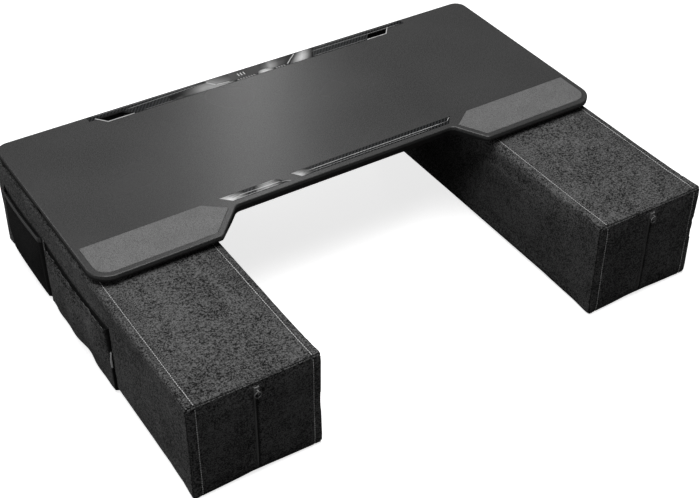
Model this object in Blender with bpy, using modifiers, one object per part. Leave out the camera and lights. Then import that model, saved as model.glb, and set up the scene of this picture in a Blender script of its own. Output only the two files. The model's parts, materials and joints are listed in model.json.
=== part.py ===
"""Lap desk: a notched board that lies loose on two box cushions.

Metres, +Z up. The user sits on the -Y side and looks along +Y. While it is modelled, x = 0 is the
middle of the board, y = 0 is its front edge and z = 0 is the floor. At the end the whole assembly is
moved so that the world origin is the middle of its footprint.
"""

import math

import bmesh
import bpy
from mathutils import Matrix, Vector

# Clearances
SEAT = 0.0003                 # left between pieces that lie on or beside each other
RUN = 0.0005                  # round the bay cover, which swings

# Board outline
BOARD_WIDTH = 0.820
BOARD_DEPTH = 0.356
FRONT_CORNER_RADIUS = 0.030
BACK_CORNER_RADIUS = 0.018
NOTCH_DEPTH = 0.0505          # from the front edge to the back of the notch
NOTCH_LEFT = 0.182            # the notch's inner corners, from the middle of the board
NOTCH_RIGHT = 0.179
LOBE_LEFT = 0.229             # the front lobes' inner corners, from the middle of the board
LOBE_RIGHT = 0.207
NOTCH_CORNER_RADIUS = 0.012
LOBE_CORNER_RADIUS = 0.008

# Board shells
BOARD_THICKNESS = 0.0150
TOP_RIM_HEIGHT = 0.0055
TOP_PLATE = 0.0032
RIM_WALL = 0.0025
TOP_EDGE_ROUNDING = 0.0012
TRAY_STEP = 0.0006            # the tray stands back from the top cover by this much
TRAY_FLOOR = 0.0025
TRAY_EDGE_CHAMFER = 0.0020
WEDGE_RUN = 0.048             # the underside rises over this length towards the front edge
WEDGE_RISE = 0.0065
RIB_THICKNESS = 0.0016
CROSS_RIB_SPACING = 0.064
LONG_RIB_SPACING = 0.060

# Screws
SCREW_HEAD_RADIUS = 0.0028
SCREW_HEAD_HEIGHT = 0.0016
SCREW_SHANK_RADIUS = 0.0014
SCREW_DRIVE_RADIUS = 0.0011
SCREW_DRIVE_DEPTH = 0.0009
HEAD_SINK = 0.0020            # depth of the counterbore
BOSS_WALL = 0.0022
SCREW_FROM_SIDE = 0.026
SCREW_FROM_BACK = 0.034
FRONT_SCREW_Y = 0.078
INNER_SCREW_X = 0.128
INNER_SCREW_FROM_HUB = 0.0204  # in front of the hub's circuit board

# Wrist pads
PAD_BORDER = 0.0085           # shell left showing round a pad
PAD_BACK_Y = 0.0735
PAD_CHAMFER_RUN = 0.031       # the pad's inner back corner is cut off
PAD_CHAMFER_DEPTH = 0.0235
PAD_THICKNESS = 0.0018
PAD_RECESS = 0.0016
PAD_EDGE_ROUNDING = 0.0007
PAD_CORNER_RADIUS = 0.004

# Trims let into the top
TRIM_RECESS = 0.0009
TRIM_THICKNESS = 0.0006
REAR_TRIM_LEFT = 0.268
REAR_TRIM_RIGHT = 0.288
REAR_TRIM_FROM_BACK = 0.0020
REAR_TRIM_DEPTH = 0.0255
REAR_TRIM_END_DEPTH = 0.0115
FRONT_TRIM_FROM_NOTCH = 0.0090
FRONT_TRIM_DEPTH = 0.0150
FRONT_LEFT_TRIM = (-0.197, -0.112)    # the blade's back edge, from x to x
FRONT_RIGHT_TRIM = (-0.084, 0.191)
FRONT_TRIM_LEFT_SLANT = 0.018         # how far a blade's left end leans over its depth
LEFT_BLADE_END_SLANT = 0.020
RIGHT_BLADE_END_SLANT = -0.013

# Cable ports: slanted slots through the rear trim
PORT_DEPTH = 0.0158
PORT_SLANT = 0.0125
PORT_OUTER_X = 0.2445         # a port's front outer corner, from the middle of the board
LEFT_PORT_INNER_X = 0.2020
RIGHT_PORT_INNER_X = 0.2085
PORT_EDGING = 0.0013
PORT_EDGING_PROUD = 0.0003

# Cable bay under the back edge, closed by a hinged cover
BAY_LEFT = 0.262
BAY_RIGHT = 0.270
BAY_DEPTH = 0.0485
BAY_FROM_BACK = 0.0075
BAY_WALL = 0.0020
TROUGH_WALL = 0.0012
WINDOW_LEFT = 0.198
WINDOW_RIGHT = 0.200
COVER_THICKNESS = 0.0022
COVER_PIN_RADIUS = 0.0012
COVER_PIN_LENGTH = 0.0030
COVER_PIN_CLEARANCE = 0.0003
EAR_WIDTH = 0.0045
EAR_MARGIN = 0.0020
EAR_DEPTH = 0.0060
FINGER_NOTCH_RADIUS = 0.0090

# Socket hub
SOCKET_WIDTH = 0.0131
SOCKET_HEIGHT = 0.0057
SOCKET_LENGTH = 0.0140
SOCKET_SHEET = 0.0006
SOCKET_TONGUE = 0.0018
SOCKET_PITCH = 0.0180
BAY_SOCKET_COUNT = 3
INLET_WIDTH = 0.0090
HUB_LEFT_X = -0.172
BOARD_SHEET = 0.0016
HUB_BOARD_DEPTH = 0.0200
BOARD_STANDOFF = 0.0003
SOCKET_STANDOFF = 0.0006
SIDE_SOCKET_Y = 0.190
SIDE_BOARD_SIZE = (0.0180, 0.0240)
LEAD_DIAMETER = 0.0030
LEAD_BEND = 0.0120
LEAD_CHANNEL = 0.0060

# Grip pads under the board
GRIP_SIZE = (0.110, 0.022)
GRIP_THICKNESS = 0.0011
GRIP_RECESS = 0.0006
GRIP_FRONT_Y = 0.112
GRIP_FROM_BACK = 0.088

# Cushions
CUSHION_WIDTH = 0.1847
CUSHION_HEIGHT = 0.1570
CUSHION_LENGTH = 0.6080
LEFT_CUSHION_OUT = 0.0016     # its outer side stands out past the board's side
RIGHT_CUSHION_IN = 0.0066     # its outer side stands in from the board's side
LEFT_CUSHION_FRONT = -0.2465
RIGHT_CUSHION_FRONT = -0.2405
COVER_CLOTH = 0.0018
SEAM_ROUNDING = 0.0060
TOP_DROOP = 0.0022            # the top's side seams droop this much in front of the board
SIDE_CROWN = 0.0016
END_CROWN = 0.0022
SEAM_DRAW = 0.0012            # how far the long side seams pull in
FOAM_SHARE = 0.8              # the foam is crowned a little less than the cover on it
FOAM_FRONT_CLEARANCE = 0.0035

# Zips
ZIP_SLIT = 0.0070
ZIP_FOOT = 0.0070
ZIP_HEAD = 0.0070
TAPE_WIDTH = 0.0240
TAPE_THICKNESS = 0.0008
CHAIN_WIDTH = 0.0042
SLIDER_WIDTH = 0.0062
SLIDER_HEIGHT = 0.0100
SLIDER_PLATE = 0.0014
SLIDER_FLANGE = 0.0007
SLIDER_FROM_HEAD = 0.0055
LOOP_WIDTH = 0.0016
LOOP_HEIGHT = 0.0060
LOOP_REACH = 0.0042
LOOP_DROP = 0.0015            # the loop's middle is this much under the slider's
RING_RADIUS = 0.0045
RING_WIRE = 0.0013
RING_HOLE_CLEARANCE = 0.0007

# Pockets on the left cushion's outer side
POCKET_CLOTH = 0.0012
POCKET_FOOT = 0.0040
MESH_POCKET_Y = (0.197, 0.336)
MESH_POCKET_TOP = 0.1080
MESH_POCKET_BULGE = 0.0100
MESH_POCKET_SAG = 0.0180
MESH_POCKET_RISE = 0.0040     # the mouth's rear end stands this much over its middle line
BINDING_HEIGHT = 0.0090
BINDING_THICKNESS = 0.0018
SUEDE_POCKET_Y = (-0.027, 0.190)
SUEDE_POCKET_TOP = 0.1170
SUEDE_POCKET_BULGE = 0.0120
SUEDE_POCKET_LOW_GAPE = 0.45   # how much of the bulge it already has low down
SUEDE_POCKET_SAG = 0.0100
SUEDE_POCKET_FOLD = 0.0022
SUEDE_POCKET_FOLDS = 3
TAG_SIZE = (0.0045, 0.0010, 0.0260)
TAG_MIDDLE_Z = 0.0630

# Heights and places that follow from the sizes above
BOARD_UNDERSIDE = CUSHION_HEIGHT + SEAT + GRIP_THICKNESS + SEAT - GRIP_RECESS
BOARD_TOP = BOARD_UNDERSIDE + BOARD_THICKNESS
SPLIT = BOARD_TOP - TOP_RIM_HEIGHT
TRAY_TOP = SPLIT - SEAT
FLOOR_TOP = BOARD_UNDERSIDE + TRAY_FLOOR
PLATE_UNDERSIDE = BOARD_TOP - TOP_PLATE
HALF_WIDTH = BOARD_WIDTH / 2
BAY_BACK_Y = BOARD_DEPTH - BAY_FROM_BACK
BAY_FRONT_Y = BAY_BACK_Y - BAY_DEPTH
LEFT_SIDE_X = -HALF_WIDTH - LEFT_CUSHION_OUT
RIGHT_SIDE_X = HALF_WIDTH - RIGHT_CUSHION_IN - CUSHION_WIDTH
BEYOND = 0.010                # how far a cutter runs past the face that it cuts

PARTS = "lap_desk"
CUTTERS = "lap_desk_cutters"


# Scene and objects

def empty_scene():
    """Remove the scene's objects and make one collection for the parts and one for the cutters."""
    for old in list(bpy.data.objects):
        bpy.data.objects.remove(old, do_unlink=True)
    for name in (PARTS, CUTTERS):
        collection = bpy.data.collections.new(name)
        bpy.context.scene.collection.children.link(collection)
    bpy.data.collections[CUTTERS].hide_render = True


def finish_material(name, colour, roughness, metallic=0.0):
    """One Principled material: base colour, roughness and metallic value."""
    material = bpy.data.materials.new(name)
    material.use_nodes = True
    shader = material.node_tree.nodes["Principled BSDF"]
    shader.inputs["Base Color"].default_value = (*colour, 1.0)
    shader.inputs["Roughness"].default_value = roughness
    shader.inputs["Metallic"].default_value = metallic
    return material


def add_object(name, mesh, collection=PARTS):
    """Link a mesh to a collection as an object."""
    obj = bpy.data.objects.new(name, mesh)
    bpy.data.collections[collection].objects.link(obj)
    if collection == CUTTERS:
        obj.hide_render = True
        obj.display_type = "WIRE"
    return obj


def make_part(obj, material, parent):
    """Give a finished sub-part its material, soft shading and parent."""
    obj.data.materials.clear()
    obj.data.materials.append(material)
    obj.data.shade_smooth()
    obj.data.set_sharp_from_angle(angle=math.radians(30))
    bpy.context.view_layer.update()
    keep = obj.matrix_world.copy()
    obj.parent = parent
    obj.matrix_parent_inverse = parent.matrix_world.inverted()
    obj.matrix_world = keep
    return obj


def add_empty(name, place, parent=None):
    """An empty that carries a body; its place is the body's reference point or joint axis."""
    empty = bpy.data.objects.new(name, None)
    empty.empty_display_size = 0.02
    bpy.data.collections[PARTS].objects.link(empty)
    if parent is not None:
        empty.parent = parent
        empty.location = Vector(place) - parent.matrix_world.translation
    else:
        empty.location = place
    bpy.context.view_layer.update()
    return empty


def boolean(obj, tool, operation="DIFFERENCE"):
    """Cut a tool out of an object, or join it on."""
    modifier = obj.modifiers.new(tool.name, "BOOLEAN")
    modifier.operation = operation
    modifier.solver = "EXACT"
    modifier.object = tool
    return obj


# Shapes

def rounded(corners, steps=8):
    """The points of a closed outline. Each corner is (x, y, radius); a radius of 0 stays sharp."""
    points = []
    count = len(corners)
    for index, (x, y, radius) in enumerate(corners):
        corner = Vector((x, y))
        before = (Vector(corners[index - 1][:2]) - corner).normalized()
        after = (Vector(corners[(index + 1) % count][:2]) - corner).normalized()
        if radius <= 0:
            points.append((x, y))
            continue
        half = before.angle(after) / 2
        centre = corner + (before + after).normalized() * radius / math.sin(half)
        start = corner + before * radius / math.tan(half) - centre
        end = corner + after * radius / math.tan(half) - centre
        sweep = start.angle_signed(end)
        for step in range(steps + 1):
            turned = start.copy()
            turned.rotate(Matrix.Rotation(-sweep * step / steps, 2))
            points.append(tuple(centre + turned))
    return points


def inset(corners, distance):
    """The same outline, drawn in by a distance. Outlines run anticlockwise."""
    moved = []
    count = len(corners)
    for index, (x, y, radius) in enumerate(corners):
        corner = Vector((x, y))
        arriving = (corner - Vector(corners[index - 1][:2])).normalized()
        leaving = (Vector(corners[(index + 1) % count][:2]) - corner).normalized()
        normal_in = Vector((-arriving.y, arriving.x))
        normal_out = Vector((-leaving.y, leaving.x))
        turn = arriving.x * leaving.y - arriving.y * leaving.x
        shift = (normal_in + normal_out) * distance / (1 + normal_in.dot(normal_out))
        change = -distance if turn > 0 else distance
        new_radius = max(radius + change, 0.0005) if radius > 0 else 0
        moved.append((x + shift.x, y + shift.y, new_radius))
    return moved


def slab(name, points, low, high, collection=PARTS):
    """A flat outline with thickness: a filled 2D curve, made a mesh with its caps welded."""
    curve = bpy.data.curves.new(name, "CURVE")
    curve.dimensions = "2D"
    curve.fill_mode = "BOTH"
    curve.resolution_u = 1
    curve.extrude = (high - low) / 2
    spline = curve.splines.new("POLY")
    spline.points.add(len(points) - 1)
    for point, (x, y) in zip(spline.points, points):
        point.co = (x, y, 0, 1)
    spline.use_cyclic_u = True
    shape = bpy.data.objects.new(name, curve)
    bpy.context.scene.collection.objects.link(shape)
    mesh = bpy.data.meshes.new_from_object(shape.evaluated_get(bpy.context.evaluated_depsgraph_get()))
    bpy.data.objects.remove(shape, do_unlink=True)
    work = bmesh.new()
    work.from_mesh(mesh)
    bmesh.ops.translate(work, verts=work.verts, vec=(0, 0, (low + high) / 2))
    bmesh.ops.remove_doubles(work, verts=work.verts, dist=0.00001)
    if collection == PARTS:
        bmesh.ops.dissolve_limit(work, angle_limit=0.001, verts=work.verts, edges=work.edges)
    bmesh.ops.recalc_face_normals(work, faces=work.faces)
    work.to_mesh(mesh)
    work.free()
    return add_object(name, mesh, collection)


def block(name, low, high, collection=CUTTERS):
    """A box between two corners."""
    work = bmesh.new()
    size = [b - a for a, b in zip(low, high)]
    middle = [(a + b) / 2 for a, b in zip(low, high)]
    place = Matrix.Translation(middle) @ Matrix.Diagonal((*size, 1))
    bmesh.ops.create_cube(work, size=1, matrix=place)
    return finish_mesh(name, work, collection)


def rod(name, start, end, radius, sides=16, collection=CUTTERS):
    """A cylinder from one point to another."""
    work = bmesh.new()
    along = Vector(end) - Vector(start)
    turn = along.to_track_quat("Z", "Y").to_matrix().to_4x4()
    place = Matrix.Translation((Vector(start) + Vector(end)) / 2) @ turn
    bmesh.ops.create_cone(
        work, cap_ends=True, segments=sides, radius1=radius, radius2=radius,
        depth=along.length, matrix=place,
    )
    return finish_mesh(name, work, collection)


def finish_mesh(name, work, collection):
    """Turn a bmesh into an object."""
    mesh = bpy.data.meshes.new(name)
    work.to_mesh(mesh)
    work.free()
    return add_object(name, mesh, collection)


def round_level_edges(obj, level, size, segments=2):
    """Bevel the edges of a slab that lie at one height."""
    work = bmesh.new()
    work.from_mesh(obj.data)
    near = 0.00005
    edges = [
        edge for edge in work.edges
        if all(abs(vert.co.z - level) < near for vert in edge.verts)
        and len(edge.link_faces) == 2 and edge.calc_face_angle() > 1.0
    ]
    bmesh.ops.bevel(
        work, geom=edges, offset=size, segments=segments, profile=0.5, affect="EDGES",
        clamp_overlap=True, material=-1,
    )
    work.to_mesh(obj.data)
    work.free()
    return obj


def slice_below(obj, point, normal):
    """Cut a mesh by a plane, drop what lies on the normal's side and close the cut."""
    work = bmesh.new()
    work.from_mesh(obj.data)
    cut = bmesh.ops.bisect_plane(
        work, geom=work.verts[:] + work.edges[:] + work.faces[:], dist=0.00001,
        plane_co=point, plane_no=normal, clear_outer=True,
    )
    rim = [item for item in cut["geom_cut"] if isinstance(item, bmesh.types.BMEdge)]
    bmesh.ops.edgenet_fill(work, edges=rim)
    bmesh.ops.recalc_face_normals(work, faces=work.faces)
    work.to_mesh(obj.data)
    work.free()
    return obj


def mirror_corners(corners):
    """An outline mirrored in x, still anticlockwise."""
    return [(-x, y, radius) for x, y, radius in reversed(corners)]


# Outlines of the board

def board_outline():
    """The board seen from above: a rectangle with a notch for the user, anticlockwise."""
    return [
        (-HALF_WIDTH, 0, FRONT_CORNER_RADIUS),
        (-LOBE_LEFT, 0, LOBE_CORNER_RADIUS),
        (-NOTCH_LEFT, NOTCH_DEPTH, NOTCH_CORNER_RADIUS),
        (NOTCH_RIGHT, NOTCH_DEPTH, NOTCH_CORNER_RADIUS),
        (LOBE_RIGHT, 0, LOBE_CORNER_RADIUS),
        (HALF_WIDTH, 0, FRONT_CORNER_RADIUS),
        (HALF_WIDTH, BOARD_DEPTH, BACK_CORNER_RADIUS),
        (-HALF_WIDTH, BOARD_DEPTH, BACK_CORNER_RADIUS),
    ]


def pad_outline(side):
    """A wrist pad follows its lobe inside an even border; its inner back corner is cut off."""
    lobe = LOBE_LEFT if side < 0 else LOBE_RIGHT
    notch = NOTCH_LEFT if side < 0 else NOTCH_RIGHT
    slope = (lobe - notch) / NOTCH_DEPTH
    slant_border = PAD_BORDER * math.hypot(1, slope)
    front_inner = lobe - slope * PAD_BORDER + slant_border
    chamfer_y = PAD_BACK_Y - PAD_CHAMFER_DEPTH
    inner = lobe - slope * chamfer_y + slant_border
    corners = [
        (-HALF_WIDTH + PAD_BORDER, PAD_BORDER, FRONT_CORNER_RADIUS - PAD_BORDER),
        (-front_inner, PAD_BORDER, PAD_CORNER_RADIUS),
        (-inner, chamfer_y, PAD_CORNER_RADIUS / 4),
        (-inner - PAD_CHAMFER_RUN, PAD_BACK_Y, PAD_CORNER_RADIUS / 4),
        (-HALF_WIDTH + PAD_BORDER, PAD_BACK_Y, PAD_CORNER_RADIUS / 4),
    ]
    return corners if side < 0 else mirror_corners(corners)


def port_corners(side):
    """A cable port is a slot whose two ends lean outwards towards the back.

    Its corners as if it were on the right: front inner, front outer, back outer, back inner.
    """
    inner = LEFT_PORT_INNER_X if side < 0 else RIGHT_PORT_INNER_X
    front = BOARD_DEPTH - REAR_TRIM_FROM_BACK - REAR_TRIM_DEPTH + PORT_EDGING
    back = front + PORT_DEPTH
    return [
        (inner, front, 0),
        (PORT_OUTER_X, front, 0),
        (PORT_OUTER_X + PORT_SLANT, back, 0),
        (inner + PORT_SLANT, back, 0),
    ]


def on_side(side, corners):
    """An outline drawn for the right, mirrored if it is for the left."""
    return corners if side > 0 else mirror_corners(corners)


def edging_line_x(y):
    """x of the outer line of a port's edging at a given y, as if on the right."""
    front = port_corners(1)[0][1]
    lean = PORT_SLANT / PORT_DEPTH
    return PORT_OUTER_X + (y - front) * lean + PORT_EDGING * math.hypot(1, lean)


def port_edging_outline(side):
    """The L along a port's front side and outer end."""
    inner_front, outer_front, outer_back, _ = port_corners(side)
    front = inner_front[1] - PORT_EDGING
    return on_side(side, [
        (inner_front[0], front, 0),
        (edging_line_x(front), front, 0),
        (edging_line_x(outer_back[1]), outer_back[1], 0),
        outer_back,
        outer_front,
        inner_front,
    ])


def rear_trim_band(play):
    """The rear trim's full rectangle, grown by some play: (low x, low y), (high x, high y)."""
    back = BOARD_DEPTH - REAR_TRIM_FROM_BACK
    low = (-REAR_TRIM_LEFT - play, back - REAR_TRIM_DEPTH - play)
    return low, (REAR_TRIM_RIGHT + play, back + play)


def trim_corner_outline(side, play):
    """What the band loses outside a port's edging: the corner in front of its thin tail."""
    front = BOARD_DEPTH - REAR_TRIM_FROM_BACK - REAR_TRIM_DEPTH - BEYOND
    tail = BOARD_DEPTH - REAR_TRIM_FROM_BACK - REAR_TRIM_END_DEPTH - play
    reach = play * math.hypot(1, PORT_SLANT / PORT_DEPTH)
    return on_side(side, [
        (edging_line_x(front) + reach, front, 0),
        (HALF_WIDTH, front, 0),
        (HALF_WIDTH, tail, 0),
        (edging_line_x(tail) + reach, tail, 0),
    ])


def front_trim_outline(span, end_slant):
    """A blade behind the notch: its left end leans in, its right end leans out or in."""
    low = NOTCH_DEPTH + FRONT_TRIM_FROM_NOTCH
    high = low + FRONT_TRIM_DEPTH
    return [
        (span[0] + FRONT_TRIM_LEFT_SLANT, low, 0),
        (span[1] + end_slant, low, 0),
        (span[1], high, 0),
        (span[0], high, 0),
    ]


def screw_places():
    """The eight screws: four near the sides, four further in."""
    side = HALF_WIDTH - SCREW_FROM_SIDE
    back = BOARD_DEPTH - SCREW_FROM_BACK
    inner_back = hub_back() - HUB_BOARD_DEPTH - INNER_SCREW_FROM_HUB
    places = []
    for sign in (-1, 1):
        places += [
            (sign * side, FRONT_SCREW_Y),
            (sign * side, back),
            (sign * INNER_SCREW_X, FRONT_SCREW_Y),
            (sign * INNER_SCREW_X, inner_back),
        ]
    return places


def grip_places():
    """The four grip pads lie over the middle of the two cushions."""
    rows = (GRIP_FRONT_Y, BOARD_DEPTH - GRIP_FROM_BACK)
    columns = (LEFT_SIDE_X + CUSHION_WIDTH / 2, RIGHT_SIDE_X + CUSHION_WIDTH / 2)
    return [(x, y) for x in columns for y in rows]


# Board pieces

def top_shell():
    """Top cover: a plate with a turned-down rim, recesses, ports and blind screw bosses."""
    outline = board_outline()
    shell = slab("top_shell", rounded(outline), SPLIT, BOARD_TOP)
    round_level_edges(shell, BOARD_TOP, TOP_EDGE_ROUNDING)
    hollow = slab(
        "top_hollow", rounded(inset(outline, RIM_WALL)), SPLIT - BEYOND, PLATE_UNDERSIDE, CUTTERS
    )
    boss_radius = SCREW_SHANK_RADIUS + SEAT + BOSS_WALL
    for index, (x, y) in enumerate(screw_places()):
        boss = rod(
            f"top_boss_{index}", (x, y, SPLIT), (x, y, BOARD_TOP + BEYOND), boss_radius, 12
        )
        boolean(hollow, boss)
    boolean(hollow, bay_curtain())
    boolean(shell, hollow)
    low, high = rear_trim_band(SEAT)
    seat = block("rear_trim_seat", (*low, BOARD_TOP - TRIM_RECESS), (*high, BOARD_TOP + BEYOND))
    for side, name in ((-1, "left"), (1, "right")):
        corner = slab(
            f"{name}_seat_corner", rounded(trim_corner_outline(side, SEAT)),
            BOARD_TOP - 2 * BEYOND, BOARD_TOP + 2 * BEYOND, CUTTERS,
        )
        boolean(seat, corner)
    boolean(shell, seat)
    trims = {
        "front_left_seat": front_trim_outline(FRONT_LEFT_TRIM, LEFT_BLADE_END_SLANT),
        "front_right_seat": front_trim_outline(FRONT_RIGHT_TRIM, RIGHT_BLADE_END_SLANT),
    }
    for name, corners in trims.items():
        seat = slab(
            name, rounded(inset(corners, -SEAT)),
            BOARD_TOP - TRIM_RECESS, BOARD_TOP + BEYOND, CUTTERS,
        )
        boolean(shell, seat)
    for side, name in ((-1, "left"), (1, "right")):
        seat = slab(
            f"{name}_pad_seat", rounded(inset(pad_outline(side), -SEAT)),
            BOARD_TOP - PAD_RECESS, BOARD_TOP + BEYOND, CUTTERS,
        )
        boolean(shell, seat)
        port = slab(
            f"{name}_port_cut", rounded(on_side(side, port_corners(side))),
            PLATE_UNDERSIDE - BEYOND, BOARD_TOP + BEYOND, CUTTERS,
        )
        boolean(shell, port)
    for index, (x, y) in enumerate(screw_places()):
        pilot = rod(
            f"top_pilot_{index}", (x, y, SPLIT - BEYOND),
            (x, y, BOARD_TOP - TOP_PLATE / 2), SCREW_SHANK_RADIUS + SEAT, 12,
        )
        boolean(shell, pilot)
    return shell


def bay_curtain():
    """The top cover's part of the wall round the cable bay's front and ends."""
    low = SPLIT + SEAT
    high = BOARD_TOP + BEYOND
    curtain = block(
        "bay_curtain", (-BAY_LEFT - BAY_WALL, BAY_FRONT_Y - BAY_WALL, low),
        (BAY_RIGHT + BAY_WALL, BOARD_DEPTH, high),
    )
    inner = block(
        "bay_curtain_inner", (-BAY_LEFT, BAY_FRONT_Y, low - BEYOND),
        (BAY_RIGHT, BOARD_DEPTH + BEYOND, high + BEYOND),
    )
    return boolean(curtain, inner)


def bottom_shell():
    """Tray: wedge front, ribs, bosses, an opening for the cable bay, and room for the socket hub."""
    outline = inset(board_outline(), TRAY_STEP)
    tray = slab("bottom_shell", rounded(outline), BOARD_UNDERSIDE, TRAY_TOP)
    round_level_edges(tray, BOARD_UNDERSIDE, TRAY_EDGE_CHAMFER, segments=2)
    wedge_normal = Vector((0, -WEDGE_RISE, -WEDGE_RUN)).normalized()
    slice_below(tray, (0, WEDGE_RUN, BOARD_UNDERSIDE), wedge_normal)
    hollow = slab(
        "tray_hollow", rounded(inset(outline, RIM_WALL)), FLOOR_TOP, TRAY_TOP + BEYOND, CUTTERS
    )
    slice_below(hollow, (0, WEDGE_RUN, FLOOR_TOP), wedge_normal)
    keep_ribs(hollow)
    boolean(tray, hollow)
    cut_cable_bay(tray)
    cut_hub_room(tray)
    for index, (x, y) in enumerate(screw_places()):
        shank = rod(
            f"tray_hole_{index}", (x, y, BOARD_UNDERSIDE - BEYOND),
            (x, y, TRAY_TOP + BEYOND), SCREW_SHANK_RADIUS + SEAT, 12,
        )
        head = rod(
            f"tray_head_{index}", (x, y, BOARD_UNDERSIDE - BEYOND),
            (x, y, BOARD_UNDERSIDE + HEAD_SINK), SCREW_HEAD_RADIUS + SEAT, 12,
        )
        boolean(tray, shank)
        boolean(tray, head)
    for index, (x, y) in enumerate(grip_places()):
        seat = block(
            f"grip_seat_{index}",
            (x - GRIP_SIZE[0] / 2 - SEAT, y - GRIP_SIZE[1] / 2 - SEAT, BOARD_UNDERSIDE - BEYOND),
            (x + GRIP_SIZE[0] / 2 + SEAT, y + GRIP_SIZE[1] / 2 + SEAT, BOARD_UNDERSIDE + GRIP_RECESS),
        )
        boolean(tray, seat)
    return tray


def keep_ribs(hollow):
    """Take the ribs, bosses and the bay's walls out of the tray's hollow, so that they stay standing."""
    low = BOARD_UNDERSIDE - BEYOND
    high = TRAY_TOP + 2 * BEYOND
    half = RIB_THICKNESS / 2
    count = int(HALF_WIDTH / CROSS_RIB_SPACING)
    for index in range(-count, count + 1):
        x = (index + 0.5) * CROSS_RIB_SPACING
        if abs(x) < HALF_WIDTH - RIM_WALL:
            rib = block(f"cross_rib_{index}", (x - half, -BEYOND, low), (x + half, BOARD_DEPTH, high))
            boolean(hollow, rib)
    rows = int(BOARD_DEPTH / LONG_RIB_SPACING)
    for index in range(1, rows):
        y = NOTCH_DEPTH + index * LONG_RIB_SPACING
        if y < BAY_FRONT_Y - HUB_BOARD_DEPTH:
            rib = block(
                f"long_rib_{index}", (-HALF_WIDTH, y - half, low), (HALF_WIDTH, y + half, high)
            )
            boolean(hollow, rib)
    boss_radius = SCREW_HEAD_RADIUS + SEAT + BOSS_WALL
    for index, (x, y) in enumerate(screw_places()):
        boolean(hollow, rod(f"tray_boss_{index}", (x, y, low), (x, y, high), boss_radius, 12))
    walls = block(
        "bay_walls", (-BAY_LEFT - BAY_WALL, BAY_FRONT_Y - BAY_WALL, low),
        (BAY_RIGHT + BAY_WALL, BOARD_DEPTH, high),
    )
    boolean(hollow, walls)


def cut_cable_bay(tray):
    """An opening through the floor along the back edge, for the two cable troughs and the cover."""
    opening = block(
        "bay_opening", (-BAY_LEFT, BAY_FRONT_Y, BOARD_UNDERSIDE - BEYOND),
        (BAY_RIGHT, BAY_BACK_Y, TRAY_TOP + BEYOND),
    )
    boolean(tray, opening)


def cable_trough(name, closed_x, open_x):
    """A trough under one port, open towards the bay's middle, with an ear for the cover's pin."""
    inward = 1 if open_x > closed_x else -1
    front = BAY_FRONT_Y + SEAT
    back = BAY_BACK_Y - SEAT
    low, high = sorted((closed_x, open_x))
    trough = block(name, (low, front, BOARD_UNDERSIDE), (high, back, TRAY_TOP), PARTS)
    low, high = sorted((closed_x + inward * TROUGH_WALL, open_x + inward * BEYOND))
    hollow = block(
        f"{name}_hollow", (low, front + TROUGH_WALL, FLOOR_TOP),
        (high, back - TROUGH_WALL, TRAY_TOP + BEYOND),
    )
    y, z = cover_axis()
    low, high = sorted((open_x - inward * EAR_WIDTH, open_x + inward * 2 * BEYOND))
    ear = block(
        f"{name}_ear", (low, front, FLOOR_TOP - BEYOND),
        (high, front + EAR_DEPTH, z + COVER_PIN_RADIUS + COVER_PIN_CLEARANCE + EAR_MARGIN),
    )
    boolean(hollow, ear)
    boolean(trough, hollow)
    hole = rod(
        f"{name}_pin_hole", (open_x + inward * BEYOND, y, z), (open_x - inward * 2 * EAR_WIDTH, y, z),
        COVER_PIN_RADIUS + COVER_PIN_CLEARANCE, 16,
    )
    boolean(trough, hole)
    return trough


def socket_places():
    """The x of each socket on the hub, and of the inlet beside them."""
    first = HUB_LEFT_X + SOCKET_PITCH / 2
    sockets = [first + index * SOCKET_PITCH for index in range(BAY_SOCKET_COUNT)]
    return sockets, first + BAY_SOCKET_COUNT * SOCKET_PITCH


def hub_back():
    """y of the hub board's back edge, just clear of the sockets' closed ends."""
    return BAY_FRONT_Y - SEAT - SOCKET_LENGTH - SEAT


def side_board_left():
    """x of the side board's left edge, just clear of the side socket's closed end."""
    return -HALF_WIDTH + TRAY_STEP + SEAT + SOCKET_LENGTH + SEAT


def cut_hub_room(tray):
    """Clear the ribs round the two circuit boards and the lead, and open the walls for the sockets."""
    low = FLOOR_TOP
    high = TRAY_TOP + BEYOND
    room_play = 4 * SEAT
    sockets, inlet = socket_places()
    right = inlet + SOCKET_PITCH / 2
    bay_face = BAY_FRONT_Y - BAY_WALL
    room = block(
        "hub_room", (HUB_LEFT_X - room_play, hub_back() - HUB_BOARD_DEPTH - room_play, low),
        (right + room_play, bay_face, high),
    )
    boolean(tray, room)
    for index, x in enumerate(sockets + [inlet]):
        half = (INLET_WIDTH if x == inlet else SOCKET_WIDTH) / 2 + SEAT
        mouth = block(
            f"bay_mouth_{index}", (x - half, bay_face - BEYOND / 10, FLOOR_TOP),
            (x + half, BAY_FRONT_Y + BEYOND / 10, high),
        )
        boolean(tray, mouth)
    side_face = -HALF_WIDTH + TRAY_STEP
    depth, width = SIDE_BOARD_SIZE
    side_room = block(
        "side_room", (side_face + RIM_WALL, SIDE_SOCKET_Y - width / 2 - room_play, low),
        (side_board_left() + depth + room_play, SIDE_SOCKET_Y + width / 2 + room_play, high),
    )
    boolean(tray, side_room)
    half = SOCKET_WIDTH / 2 + SEAT
    side_mouth = block(
        "side_mouth",
        (side_face - BEYOND, SIDE_SOCKET_Y - half, FLOOR_TOP + SOCKET_STANDOFF - SEAT),
        (side_face + RIM_WALL + BEYOND / 10, SIDE_SOCKET_Y + half, high),
    )
    boolean(tray, side_mouth)
    start, corner, end = lead_route()
    reach = LEAD_CHANNEL / 2
    along_x = block(
        "lead_channel_x", (start.x - reach, corner.y - reach, low),
        (corner.x + reach, corner.y + reach, high),
    )
    along_y = block(
        "lead_channel_y", (corner.x - reach, corner.y - reach, low),
        (corner.x + reach, end.y + reach, high),
    )
    boolean(tray, along_x)
    boolean(tray, along_y)


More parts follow.
